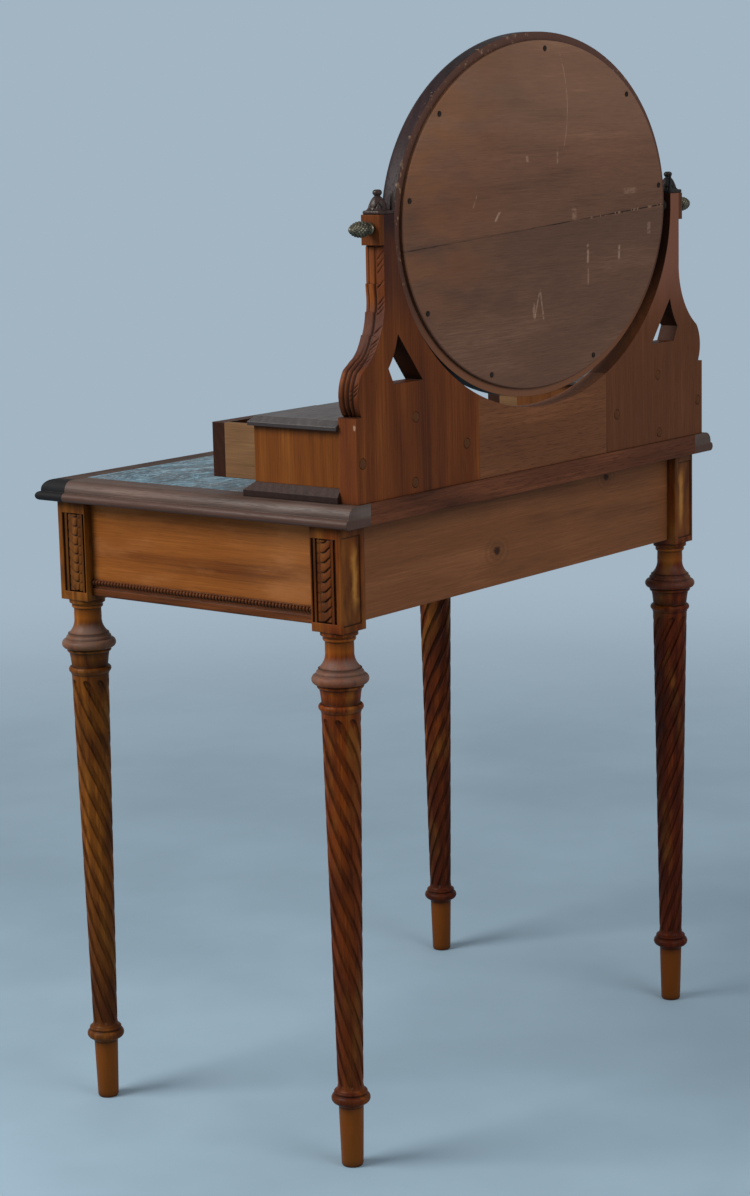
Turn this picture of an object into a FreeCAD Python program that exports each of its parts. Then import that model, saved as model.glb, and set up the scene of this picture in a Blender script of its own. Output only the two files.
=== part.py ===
import FreeCAD, Part
import math
import os
import Sketcher

# A dressing table: turned legs, a marble top in a moulded frame, one apron drawer, two small
# drawer cases and an oval mirror that tilts between the two uprights of a shaped board.
# Millimetres. X runs to the right as seen from the front, the front faces -Y, Z is up,
# and the origin lies on the floor under the middle of the table.

SIZES = (
    # the top: four moulded rails round a marble slab on a pine bed
    ("table_height", 750.0),
    ("top_width", 750.0),
    ("top_depth", 459.0),
    ("top_rail_width", 43.0),
    ("top_nose_radius", 5.25),
    ("top_step", 1.5),
    ("top_ovolo_radius", 12.0),
    ("marble_thickness", 14.0),
    # legs: a square stile above a turned column
    ("top_overhang_x", 15.0),
    ("top_overhang_y", 21.0),
    ("stile_width", 42.0),
    ("stile_height", 116.0),
    ("stile_panel_margin", 6.0),
    ("stile_panel_top_margin", 13.0),
    ("stile_panel_bottom_margin", 11.0),
    ("stile_panel_depth", 3.0),
    ("foot_bottom_radius", 12.3),
    ("foot_rounding", 2.5),
    ("foot_top_radius", 14.0),
    ("foot_height", 69.7),
    ("ring_cove_height", 5.3),
    ("ring_inner_radius", 15.8),
    ("ring_height", 12.4),
    ("ring_bulge", 6.1),
    ("ring_flare_height", 7.6),
    ("shaft_bottom_radius", 14.4),
    ("shaft_top_radius", 21.6),
    ("astragal_height", 10.0),
    ("astragal_bulge", 4.2),
    ("waist_height", 16.5),
    ("waist_bottom_radius", 21.0),
    ("waist_top_radius", 23.2),
    ("torus_height", 16.0),
    ("torus_bulge", 7.7),
    ("collar_radius", 24.3),
    ("collar_height", 6.5),
    ("bell_radius", 22.5),
    ("bell_height", 18.0),
    ("bell_hollow", 2.2),
    ("neck_radius", 16.0),
    ("neck_height", 9.5),
    ("cavetto_height", 9.5),
    ("cavetto_hollow", 2.0),
    ("flange_radius", 20.8),
    ("flange_height", 4.0),
    # aprons, set back behind the faces of the stiles
    ("apron_setback", 11.5),
    ("apron_thickness", 20.0),
    ("apron_height", 110.0),
    ("bead_fillet_depth", 3.0),
    ("bead_fillet_height", 9.0),
    ("bead_groove_depth", 1.5),
    ("bead_groove_height", 3.0),
    ("bead_height", 7.0),
    ("bead_bulge", 3.4),
    # apron drawer and what it runs on
    ("front_rail_height", 16.0),
    ("front_rail_depth", 45.0),
    ("runner_thickness", 12.0),
    ("runner_width", 28.5),
    ("guide_height", 28.0),
    ("apron_drawer_clearance", 1.0),
    ("apron_drawer_front_thickness", 18.0),
    ("apron_drawer_side_thickness", 10.0),
    ("apron_drawer_side_gap", 2.0),
    ("apron_drawer_side_height", 80.0),
    ("apron_drawer_back_gap", 27.0),
    ("apron_drawer_bottom_rise", 8.0),
    ("apron_drawer_bottom_thickness", 6.0),
    ("pull_spacing", 300.0),
    ("pull_base_radius", 11.0),
    ("pull_base_height", 3.0),
    ("pull_neck_radius", 6.0),
    ("pull_neck_height", 7.0),
    ("pull_head_radius", 13.0),
    ("pull_head_flare", 4.0),
    ("pull_head_height", 8.0),
    ("pull_head_crown", 3.2),
    ("pull_head_flat_radius", 1.0),
    ("pull_spigot_radius", 4.0),
    ("pull_spigot_length", 12.0),
    # mirror board: three planks edge to edge, hollowed for the mirror
    ("curve_half_width", 277.5),
    ("curve_half_height", 217.0),
    ("upright_width", 19.0),
    ("upright_setin", 55.0),
    ("board_thickness", 24.0),
    ("board_setin", 2.0),
    ("side_plank_width", 221.5),
    ("shoulder_height", 92.0),
    ("shoulder_setin", 9.5),
    ("volute_height", 46.0),
    ("volute_setin", 12.9),
    ("volute_bulge", 6.6),
    ("sweep_height", 82.0),
    ("sweep_hollow", 12.5),
    ("upright_height", 302.0),
    ("cutout_bottom_height", 122.0),
    ("cutout_inner_setin", 63.5),
    ("cutout_outer_setin", 12.0),
    ("cutout_notch_setin", 3.0),
    ("cutout_notch_height", 17.5),
    ("cutout_apex_setin", 20.5),
    ("cutout_apex_height", 53.0),
    ("cutout_hollow", 2.5),
    ("peg_radius", 6.0),
    ("peg_depth", 8.0),
    ("outer_peg_setin", 10.0),
    ("outer_peg_height", 43.0),
    ("upper_peg_setin", 104.5),
    ("upper_peg_height", 83.0),
    ("lower_peg_setin", 101.5),
    ("lower_peg_height", 12.0),
    ("inner_peg_setin", 197.5),
    ("inner_peg_height", 44.0),
    # pivots of the mirror, their plates, finials and knobs
    ("pivot_height", 287.5),
    ("pivot_radius", 3.0),
    ("pivot_clearance", 0.05),
    ("pivot_grip", 20.0),
    ("pivot_reach", 10.5),
    ("pivot_shoulder_radius", 7.0),
    ("pivot_shoulder_gap", 0.3),
    ("plate_thickness", 8.0),
    ("plate_height", 32.0),
    ("knob_gap", 0.3),
    ("knob_collar_radius", 6.5),
    ("knob_collar_length", 4.0),
    ("knob_cone_length", 31.0),
    ("knob_cone_bulge", 4.4),
    ("knob_tip_radius", 2.0),
    ("knob_bore_depth", 14.0),
    ("finial_overhang", 0.5),
    ("finial_flange_height", 4.0),
    ("finial_bell_radius", 10.0),
    ("finial_bell_height", 14.0),
    ("finial_bell_swell", 2.2),
    ("finial_neck_radius", 3.4),
    ("finial_ball_height", 7.6),
    ("finial_ball_bulge", 3.2),
    ("finial_ball_flat_radius", 0.6),
    # mirror
    ("mirror_side_gap", 6.0),
    ("mirror_bottom_gap", 11.5),
    ("mirror_frame_width", 31.5),
    ("mirror_frame_front_depth", 14.0),
    ("mirror_frame_back_depth", 6.0),
    ("mirror_outer_rounding", 6.0),
    ("mirror_inner_rounding", 3.0),
    ("mirror_lip_width", 7.0),
    ("mirror_lip_thickness", 5.0),
    ("glass_clearance", 0.4),
    ("glass_thickness", 4.0),
    ("glass_block_length", 20.0),
    ("glass_block_width", 9.0),
    ("glass_block_gap", 0.6),
    ("mirror_back_setin", 9.5),
    ("mirror_back_thickness", 5.0),
    ("mirror_back_chamfer", 1.2),
    ("mirror_joint_drop", 12.5),
    ("mirror_joint_fall", 23.0),
    ("screw_setin", 9.0),
    ("screw_head_radius", 3.0),
    ("screw_head_height", 0.8),
    ("screw_shank_radius", 1.5),
    ("screw_length", 14.0),
    # small drawer cases beside the mirror
    ("case_setin", 2.5),
    ("case_width", 199.0),
    ("case_depth", 119.0),
    ("case_side_thickness", 8.0),
    ("case_side_height", 62.0),
    ("case_base_face", 7.0),
    ("case_base_bevel", 9.0),
    ("case_base_front_overhang", 12.5),
    ("case_overhang", 7.0),
    ("case_top_face", 4.0),
    ("case_top_bevel", 6.0),
    ("case_top_bevel_width", 9.0),
    ("case_top_front_overhang", 4.0),
    # small drawers
    ("small_drawer_side_clearance", 1.0),
    ("small_drawer_top_clearance", 1.5),
    ("small_drawer_front_thickness", 17.5),
    ("small_drawer_side_thickness", 8.0),
    ("small_drawer_length", 113.5),
    ("small_drawer_bottom_rise", 4.0),
    ("small_drawer_bottom_thickness", 4.0),
    ("small_drawer_opening_right", 68.0),
    ("small_drawer_opening_left", 50.0),
    ("small_knob_base_radius", 7.0),
    ("small_knob_base_height", 1.5),
    ("small_knob_neck_radius", 3.5),
    ("small_knob_neck_height", 4.5),
    ("small_knob_head_radius", 8.0),
    ("small_knob_head_flare", 2.5),
    ("small_knob_head_height", 6.0),
    ("small_knob_head_crown", 2.0),
    ("small_knob_head_flat_radius", 0.8),
    ("small_knob_spigot_radius", 2.5),
    ("small_knob_spigot_length", 9.0),
    # how far a cut runs past what it cuts
    ("overrun", 5.0),
)

# Lean of the mirror at rest, in degrees, with its top towards the back
MIRROR_LEAN = 1.3

# Places of the screws round the back of the mirror, as shares of a turn from its right end
SCREW_TURN_SHARES = (0.023, 0.108, 0.252, 0.372, 0.478, 0.678, 0.813, 0.915)

doc = FreeCAD.newDocument("DressingTable")
sheet = doc.addObject("Spreadsheet::Sheet", "Sizes")
X_AXIS = FreeCAD.Vector(1, 0, 0)
Y_AXIS = FreeCAD.Vector(0, 1, 0)
Z_AXIS = FreeCAD.Vector(0, 0, 1)
nodes = []


class Term:
    """A size with its number and the formula that binds it to the sheet."""

    def __init__(self, number, formula):
        self.number = number
        self.formula = formula

    def combine(self, other, sign, number):
        return Term(number, f"({self.formula} {sign} {other.formula})")

    def __add__(self, other):
        other = term(other)
        return self.combine(other, "+", self.number + other.number)

    def __sub__(self, other):
        other = term(other)
        return self.combine(other, "-", self.number - other.number)

    def __mul__(self, other):
        other = term(other)
        return self.combine(other, "*", self.number * other.number)

    def __truediv__(self, other):
        other = term(other)
        return self.combine(other, "/", self.number / other.number)

    def __neg__(self):
        return self * -1


def term(value):
    """A plain number as a term; a term stays as it is."""
    return value if isinstance(value, Term) else Term(value, f"({value})")


class Sizes:
    """The cells of the sheet by name."""


size = Sizes()
for row, (alias, number) in enumerate(SIZES, start=1):
    sheet.set(f"A{row}", alias)
    sheet.set(f"B{row}", str(number))
    sheet.setAlias(f"B{row}", alias)
    setattr(size, alias, Term(number, f"Sizes.{alias}"))
doc.recompute()
zero = term(0)


class Path:
    """A closed outline whose corners are joined by straight lines or arcs."""

    def __init__(self, across, up):
        self.corners = [(term(across), term(up))]
        self.arcs = []

    def line(self, across, up):
        self.corners.append((term(across), term(up)))
        self.arcs.append(None)

    def arc(self, across, up, radius, turns_left):
        self.corners.append((term(across), term(up)))
        self.arcs.append((radius, turns_left))

    def bulge(self, across, up, rise, turns_left):
        """An arc that rises by a stated amount from the straight line between its ends."""
        start_across, start_up = self.corners[-1]
        run, climb = term(across) - start_across, term(up) - start_up
        radius = (run * run + climb * climb) / (rise * 8) + rise / 2
        self.arc(across, up, radius, turns_left)


def arc_between(start, end, radius, turns_left):
    """The shorter arc between two points, turning left or right on the way."""
    half = (end - start).Length / 2
    sideways = FreeCAD.Vector(start.y - end.y, end.x - start.x, 0).normalize()
    away = math.sqrt(radius * radius - half * half)
    centre = (start + end) / 2 + sideways * (away if turns_left else -away)
    first, last = (start, end) if turns_left else (end, start)
    circle = Part.Circle(centre, Z_AXIS, radius)
    return Part.ArcOfCircle(circle, circle.parameter(first), circle.parameter(last))


def bind_constraint(sketch, constraint, place):
    """Add a dimension and tie it to its formula."""
    number = sketch.addConstraint(constraint)
    sketch.setExpression(f"Constraints[{number}]", place.formula)


def draw(body, name, plane_role, path):
    """A sketch on one of the body's own planes, every corner and radius bound to the sheet."""
    sketch = body.newObject("Sketcher::SketchObject", name)
    plane = [feature for feature in body.Origin.OriginFeatures if feature.Role == plane_role][0]
    sketch.AttachmentSupport = (plane, [""])
    sketch.MapMode = "FlatFace"
    places = [FreeCAD.Vector(across.number, up.number, 0) for across, up in path.corners]
    arcs = path.arcs + [None]
    ends = []
    for index, arc in enumerate(arcs):
        begin, end = places[index], places[(index + 1) % len(places)]
        if arc is None:
            sketch.addGeometry(Part.LineSegment(begin, end), False)
            ends.append((1, 2))
        else:
            radius, turns_left = arc
            sketch.addGeometry(arc_between(begin, end, radius.number, turns_left), False)
            ends.append((1, 2) if turns_left else (2, 1))
    for index, (_, finish) in enumerate(ends):
        following = (index + 1) % len(ends)
        sketch.addConstraint(Sketcher.Constraint("Coincident", index, finish, following, ends[following][0]))
    for index, corner in enumerate(path.corners):
        for kind, place in zip(("DistanceX", "DistanceY"), corner):
            dimension = Sketcher.Constraint(kind, -1, 1, index, ends[index][0], place.number)
            bind_constraint(sketch, dimension, place)
    for index, arc in enumerate(arcs):
        if arc is not None:
            bind_constraint(sketch, Sketcher.Constraint("Radius", index, arc[0].number), arc[0])
    return sketch


def move(item, x, y, z):
    """Bind an object's place."""
    for letter, place in zip("xyz", (x, y, z)):
        item.setExpression(f"Placement.Base.{letter}", term(place).formula)
    return item


def turn(item, axis, angle):
    """Turn an object about its own origin."""
    item.Placement = FreeCAD.Placement(FreeCAD.Vector(), FreeCAD.Rotation(axis, angle))
    return item


def prism(name, plane_role, path, length, place):
    """A body padded from one outline: XZ pads towards -Y, YZ pads towards +X."""
    body = doc.addObject("PartDesign::Body", name)
    pad = body.newObject("PartDesign::Pad", name + "_pad")
    pad.Profile = draw(body, name + "_outline", plane_role, path)
    pad.setExpression("Length", length.formula)
    return move(body, *place)


def turned(name, path):
    """A body turned about its own Z axis."""
    body = doc.addObject("PartDesign::Body", name)
    outline = draw(body, name + "_outline", "XZ_Plane", path)
    turning = body.newObject("PartDesign::Revolution", name + "_turning")
    turning.Profile = outline
    turning.ReferenceAxis = (outline, ["V_Axis"])
    turning.Angle = 360
    return body


def box(name, x, y, z):
    """A box between two places on each axis."""
    item = doc.addObject("Part::Box", name)
    for prop, (low, high) in zip(("Length", "Width", "Height"), (x, y, z)):
        item.setExpression(prop, (high - low).formula)
    return move(item, x[0], y[0], z[0])


def rod(name, radius, length, direction, place):
    """A cylinder from a place along a direction."""
    item = doc.addObject("Part::Cylinder", name)
    item.setExpression("Radius", radius.formula)
    item.setExpression("Height", length.formula)
    item.Placement = FreeCAD.Placement(FreeCAD.Vector(), FreeCAD.Rotation(Z_AXIS, direction))
    return move(item, *place)


def oval(name, half_width, half_height, front, back, z):
    """An upright elliptical plate between its front face and its back face."""
    edge = doc.addObject("Part::Ellipse", name + "_edge")
    edge.setExpression("MajorRadius", half_width.formula)
    edge.setExpression("MinorRadius", half_height.formula)
    move(turn(edge, X_AXIS, 90), zero, front, z)
    plate = doc.addObject("Part::Extrusion", name)
    plate.Base = edge
    plate.DirMode = "Custom"
    plate.Dir = Y_AXIS
    plate.setExpression("LengthFwd", (back - front).formula)
    plate.Solid = True
    return plate


def combined(kind, name, base, tool):
    """A boolean of two objects: Cut, Fuse or Common."""
    item = doc.addObject("Part::" + kind, name)
    item.Base = base
    item.Tool = tool
    return item


def merged(name, items):
    """Several cutters made one."""
    item = doc.addObject("Part::MultiFuse", name)
    item.Shapes = items
    return item


def group(name, items):
    """Separate pieces that share one node."""
    item = doc.addObject("Part::Compound", name)
    item.Links = items
    return item


def mirrored(name, source):
    """The same piece on the other side."""
    item = doc.addObject("Part::Mirroring", name)
    item.Source = source
    item.Normal = X_AXIS
    return item


def node(label, item):
    """Name a finished sub-part."""
    item.Label = label
    nodes.append(item)


# Faces and levels that several pieces share
top_thickness = size.top_nose_radius * 2 + size.top_step + size.top_ovolo_radius
underside = size.table_height - top_thickness
top_half_x = size.top_width / 2
top_half_y = size.top_depth / 2
slab_half_x = top_half_x - size.top_rail_width
slab_half_y = top_half_y - size.top_rail_width
stile_half = size.stile_width / 2
stile_bottom = underside - size.stile_height
leg_x = top_half_x - size.top_overhang_x - stile_half
leg_y = top_half_y - size.top_overhang_y - stile_half
stile_in_x = leg_x - stile_half
stile_in_y = leg_y - stile_half
apron_face_x = leg_x + stile_half - size.apron_setback
apron_face_y = leg_y + stile_half - size.apron_setback
apron_inner_x = apron_face_x - size.apron_thickness
apron_bottom = underside - size.apron_height
front_rail_top = apron_bottom + size.front_rail_height
mirror_half_x = size.curve_half_width - size.mirror_side_gap
mirror_half_z = size.curve_half_height - size.mirror_bottom_gap
upright_out_x = size.curve_half_width + size.upright_width
plate_out_x = upright_out_x + size.plate_thickness
knob_start_x = plate_out_x + size.knob_gap
board_half = upright_out_x + size.upright_setin
board_back = top_half_y - size.board_setin
board_front = board_back - size.board_thickness
pivot_y = (board_back + board_front) / 2
pivot_z = size.table_height + size.pivot_height
upright_top = size.table_height + size.upright_height


def leg_column():
    """Outline of the turned part of a leg, from the floor up to the stile."""
    ring_start = size.foot_height + size.ring_cove_height
    ring_end = ring_start + size.ring_height
    flange_start = stile_bottom - size.flange_height
    neck_end = flange_start - size.cavetto_height
    bell_end = neck_end - size.neck_height
    collar_end = bell_end - size.bell_height
    torus_end = collar_end - size.collar_height
    torus_start = torus_end - size.torus_height
    waist_start = torus_start - size.waist_height
    path = Path(zero, zero)
    path.line(size.foot_bottom_radius - size.foot_rounding, zero)
    path.arc(size.foot_bottom_radius, size.foot_rounding, size.foot_rounding, True)
    path.line(size.foot_top_radius, size.foot_height)
    path.line(size.ring_inner_radius, ring_start)
    path.bulge(size.ring_inner_radius, ring_end, size.ring_bulge, True)
    path.line(size.shaft_bottom_radius, ring_end + size.ring_flare_height)
    path.line(size.shaft_top_radius, waist_start - size.astragal_height)
    path.bulge(size.waist_bottom_radius, waist_start, size.astragal_bulge, True)
    path.line(size.waist_top_radius, torus_start)
    path.bulge(size.collar_radius, torus_end, size.torus_bulge, True)
    path.line(size.collar_radius, collar_end)
    path.line(size.bell_radius, collar_end)
    path.bulge(size.neck_radius, bell_end, size.bell_hollow, False)
    path.line(size.neck_radius, neck_end)
    path.bulge(size.flange_radius, flange_start, size.cavetto_hollow, False)
    path.line(size.flange_radius, stile_bottom)
    path.line(zero, stile_bottom)
    return path


def make_legs():
    """Four legs; each stile has a sunk panel in its two outward faces."""
    across = (-stile_half, stile_half)
    wide = (size.stile_panel_margin - stile_half, stile_half - size.stile_panel_margin)
    tall = (stile_bottom + size.stile_panel_bottom_margin, underside - size.stile_panel_top_margin)
    deep = (stile_half - size.stile_panel_depth, stile_half + size.overrun)
    corners = (("back_right", 1, 1, 0), ("back_left", -1, 1, 90),
               ("front_left", -1, -1, 180), ("front_right", 1, -1, 270))
    for label, along_x, along_y, angle in corners:
        column = turned(f"column_{label}", leg_column())
        stile = box(f"stile_{label}", across, across, (stile_bottom, underside))
        blank = combined("Fuse", f"leg_blank_{label}", column, stile)
        panels = merged(f"panels_{label}", [box(f"panel_x_{label}", deep, wide, tall),
                                            box(f"panel_y_{label}", wide, deep, tall)])
        leg = turn(combined("Cut", f"leg_cut_{label}", blank, panels), Z_AXIS, angle)
        move(leg, leg_x * along_x, leg_y * along_y, zero)
        node(f"leg_{label}", leg)


def moulded_edge(path, edge, inward):
    """Add the moulded edge of the top, walked up on the far side and down on the near side."""
    nose = size.top_nose_radius
    nose_top = underside + nose * 2
    shelf = edge + nose * inward
    corners = [(shelf, underside), (edge, underside + nose), (shelf, nose_top),
               (shelf, nose_top + size.top_step),
               (shelf + size.top_ovolo_radius * inward, size.table_height)]
    radii = [None, nose, nose, None, size.top_ovolo_radius]
    if inward > 0:
        corners.reverse()
        radii = [None] + radii[:0:-1]
    for (across, up), radius in zip(corners, radii):
        if radius is None:
            path.line(across, up)
        else:
            path.arc(across, up, radius, True)


def make_top():
    """A frame moulded on three sides; its front rail and its side rails run through."""
    ends = Path(zero, underside)
    moulded_edge(ends, top_half_x, -1)
    moulded_edge(ends, -top_half_x, 1)
    across = prism("top_across", "XZ_Plane", ends, size.top_depth, (zero, top_half_y, zero))
    front = Path(zero, underside)
    front.line(top_half_y, underside)
    front.line(top_half_y, size.table_height)
    moulded_edge(front, -top_half_y, 1)
    along = prism("top_along", "YZ_Plane", front, size.top_width, (-top_half_x, zero, zero))
    moulded = combined("Common", "top_moulded", across, along)

    z = (underside, size.table_height)
    bed_top = size.table_height - size.marble_thickness
    slab_x, slab_y = (-slab_half_x, slab_half_x), (-slab_half_y, slab_half_y)
    rails = (
        ("top_rail_front", (-top_half_x, top_half_x), (-top_half_y, -slab_half_y)),
        ("top_rail_left", (-top_half_x, -slab_half_x), (-slab_half_y, top_half_y)),
        ("top_rail_right", (slab_half_x, top_half_x), (-slab_half_y, top_half_y)))
    for label, x, y in rails:
        node(label, combined("Common", label + "_cut", moulded, box(label + "_extent", x, y, z)))
    node("top_rail_back", box("rail_back", slab_x, (slab_half_y, top_half_y), z))
    node("marble_slab", box("slab", slab_x, slab_y, (bed_top, size.table_height)))
    node("marble_bed", box("bed", slab_x, slab_y, (underside, bed_top)))


def make_aprons():
    """Three aprons, a beaded moulding on each side, and the rail and runners of the drawer."""
    z = (apron_bottom, underside)
    back_y = (apron_face_y - size.apron_thickness, apron_face_y)
    between_y = (-stile_in_y, stile_in_y)
    node("apron_back", box("back_apron", (-stile_in_x, stile_in_x), back_y, z))
    right = box("right_apron", (apron_inner_x, apron_face_x), between_y, z)
    node("apron_right", right)
    node("apron_left", mirrored("left_apron", right))

    fillet_x = apron_face_x + size.bead_fillet_depth
    fillet_top = apron_bottom + size.bead_fillet_height
    groove_x = apron_face_x + size.bead_groove_depth
    groove_top = fillet_top + size.bead_groove_height
    bead_top = groove_top + size.bead_height
    path = Path(apron_face_x, apron_bottom)
    path.line(fillet_x, apron_bottom)
    path.line(fillet_x, fillet_top)
    path.line(groove_x, fillet_top)
    path.line(groove_x, groove_top)
    path.bulge(groove_x, bead_top, size.bead_bulge, True)
    path.line(apron_face_x, bead_top)
    bead = prism("bead_right", "XZ_Plane", path, stile_in_y * 2, (zero, stile_in_y, zero))
    node("bead_moulding_right", bead)
    node("bead_moulding_left", mirrored("bead_left", bead))

    rail_y = (-apron_face_y, size.front_rail_depth - apron_face_y)
    rail_z = (apron_bottom, front_rail_top)
    node("front_rail_lower", box("front_rail", (-stile_in_x, stile_in_x), rail_y, rail_z))
    runner = box("runner", (apron_inner_x - size.runner_width, apron_inner_x),
                 (rail_y[1], stile_in_y), (front_rail_top - size.runner_thickness, front_rail_top))
    guide = box("guide", (stile_in_x, apron_inner_x), between_y,
                (front_rail_top, front_rail_top + size.guide_height))
    others = [mirrored("runner_left", runner), mirrored("guide_left", guide)]
    node("drawer_guides", group("guides", [runner, guide, *others]))


def knob_outline(prefix):
    """Outline of a turned drawer knob with a spigot below its base."""
    spigot_radius, spigot_length, base_radius, base_height, neck_radius, neck_height = (
        getattr(size, f"{prefix}_{key}") for key in (
            "spigot_radius", "spigot_length", "base_radius", "base_height", "neck_radius", "neck_height"))
    head_radius, head_flare, head_height, head_crown, flat_radius = (
        getattr(size, f"{prefix}_head_{key}") for key in ("radius", "flare", "height", "crown", "flat_radius"))
    neck_top = base_height + neck_height
    path = Path(zero, -spigot_length)
    path.line(spigot_radius, -spigot_length)
    path.line(spigot_radius, zero)
    path.line(base_radius, zero)
    path.line(base_radius, base_height)
    path.line(neck_radius, base_height)
    path.line(neck_radius, neck_top)
    path.line(head_radius, neck_top + head_flare)
    head_top = neck_top + head_flare + head_height
    path.bulge(flat_radius, head_top, head_crown, True)
    path.line(zero, head_top)
    return path


def make_apron_drawer():
    """The wide drawer behind the front of the table, shut at rest."""
    front_half = stile_in_x - size.apron_drawer_clearance
    side_out = stile_in_x - size.apron_drawer_side_gap
    side_in = side_out - size.apron_drawer_side_thickness
    face_y = -apron_face_y
    behind_face = face_y + size.apron_drawer_front_thickness
    end_y = apron_face_y - size.apron_thickness - size.apron_drawer_back_gap
    side_z = (front_rail_top, front_rail_top + size.apron_drawer_side_height)
    front_z = (front_rail_top + size.apron_drawer_clearance, underside - size.apron_drawer_clearance)
    bottom_low = front_rail_top + size.apron_drawer_bottom_rise
    bottom_top = bottom_low + size.apron_drawer_bottom_thickness
    pulls, bores = [], []
    for side, sign in (("left", -1), ("right", 1)):
        place = (size.pull_spacing / 2 * sign, face_y, (front_z[0] + front_z[1]) / 2)
        pulls.append(move(turn(turned(f"pull_{side}", knob_outline("pull")), X_AXIS, 90), *place))
        bores.append(rod(f"pull_bore_{side}", size.pull_spigot_radius, size.pull_spigot_length, Y_AXIS, place))
    front = box("wide_front", (-front_half, front_half), (face_y, behind_face), front_z)
    node("main_drawer_front", combined("Cut", "wide_front_bored", front, merged("pull_bores", bores)))
    node("main_drawer_pulls", group("pulls", pulls))
    side = box("wide_side", (side_in, side_out), (behind_face, end_y), side_z)
    node("main_drawer_side_right", side)
    node("main_drawer_side_left", mirrored("wide_side_left", side))
    inside = (-side_in, side_in)
    back_y = (end_y - size.apron_drawer_side_thickness, end_y)
    node("main_drawer_back", box("wide_back", inside, back_y, (bottom_top, side_z[1])))
    node("main_drawer_bottom", box("wide_bottom", inside, (behind_face, end_y), (bottom_low, bottom_top)))


def make_board():
    """The board that carries the mirror, with its pegs."""
    base = size.table_height
    plank_x = board_half - size.side_plank_width
    shoulder = base + size.shoulder_height
    volute_top = shoulder + size.volute_height
    outline = Path(plank_x, base)
    outline.line(board_half, base)
    outline.line(board_half, shoulder)
    outline.line(board_half - size.shoulder_setin, shoulder)
    outline.bulge(board_half - size.volute_setin, volute_top, size.volute_bulge, True)
    outline.bulge(upright_out_x, volute_top + size.sweep_height, size.sweep_hollow, False)
    outline.line(upright_out_x, upright_top)
    outline.line(size.curve_half_width, upright_top)
    outline.line(size.curve_half_width, pivot_z)
    outline.line(plank_x, pivot_z)
    plank = prism("side_plank", "XZ_Plane", outline, size.board_thickness, (zero, board_back, zero))
    through = (board_front - size.overrun, board_back + size.overrun)
    hollow = oval("mirror_hollow", size.curve_half_width, size.curve_half_height, *through, pivot_z)

    low = base + size.cutout_bottom_height
    triangle = Path(upright_out_x - size.cutout_inner_setin, low)
    triangle.line(upright_out_x - size.cutout_outer_setin, low)
    triangle.line(upright_out_x - size.cutout_notch_setin, low + size.cutout_notch_height)
    triangle.bulge(upright_out_x - size.cutout_apex_setin, low + size.cutout_apex_height,
                   size.cutout_hollow, False)
    window = prism("window", "XZ_Plane", triangle, through[1] - through[0], (zero, through[1], zero))

    pegs = {"right": [], "left": []}
    for label in ("outer", "upper", "lower", "inner"):
        x = board_half - getattr(size, label + "_peg_setin")
        z = base + getattr(size, label + "_peg_height")
        for side, sign in (("right", 1), ("left", -1)):
            place = (x * sign, board_back - size.peg_depth, z)
            pegs[side].append(rod(f"{label}_peg_{side}", size.peg_radius, size.peg_depth, Y_AXIS, place))
    cutters = merged("plank_cutters", [hollow, window, pivot_bore(), *pegs["right"]])
    right = combined("Cut", "plank_right", plank, cutters)
    node("back_board_right", right)
    node("back_board_left", mirrored("plank_left", right))
    centre = box("plank_centre", (-plank_x, plank_x), (board_front, board_back), (base, pivot_z))
    node("back_board_centre", combined("Cut", "plank_centre_hollowed", centre, hollow))
    node("board_pegs", group("pegs", pegs["right"] + pegs["left"]))


def pivot_bore():
    """The running bore of a pivot pin, through the upright and its plate."""
    start = size.curve_half_width - size.overrun
    return rod("pivot_bore", size.pivot_radius + size.pivot_clearance,
               plate_out_x + size.overrun - start, X_AXIS, (start, pivot_y, pivot_z))


def make_upright_ends():
    """On each upright, a plate that thickens it at the pivot and a finial on its end."""
    plate = box("plate", (upright_out_x, plate_out_x), (board_front, board_back),
                (upright_top - size.plate_height, upright_top))
    bored = combined("Cut", "plate_bored", plate, pivot_bore())
    node("pivot_block_right", bored)
    node("pivot_block_left", mirrored("plate_left", bored))
    over = size.finial_overhang
    flange_top = upright_top + size.finial_flange_height
    flange = box("flange", (size.curve_half_width - over, plate_out_x + over),
                 (board_front - over, board_back + over), (upright_top, flange_top))
    outline = Path(zero, zero)
    outline.line(size.finial_bell_radius, zero)
    outline.bulge(size.finial_neck_radius, size.finial_bell_height, size.finial_bell_swell, True)
    top = size.finial_bell_height + size.finial_ball_height
    outline.bulge(size.finial_ball_flat_radius, top, size.finial_ball_bulge, True)
    outline.line(zero, top)
    spindle = turned("spindle", outline)
    move(spindle, (size.curve_half_width + plate_out_x) / 2, pivot_y, flange_top)
    finial = combined("Fuse", "finial", flange, spindle)
    node("finial_right", finial)
    node("finial_left", mirrored("finial_mirrored", finial))


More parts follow.
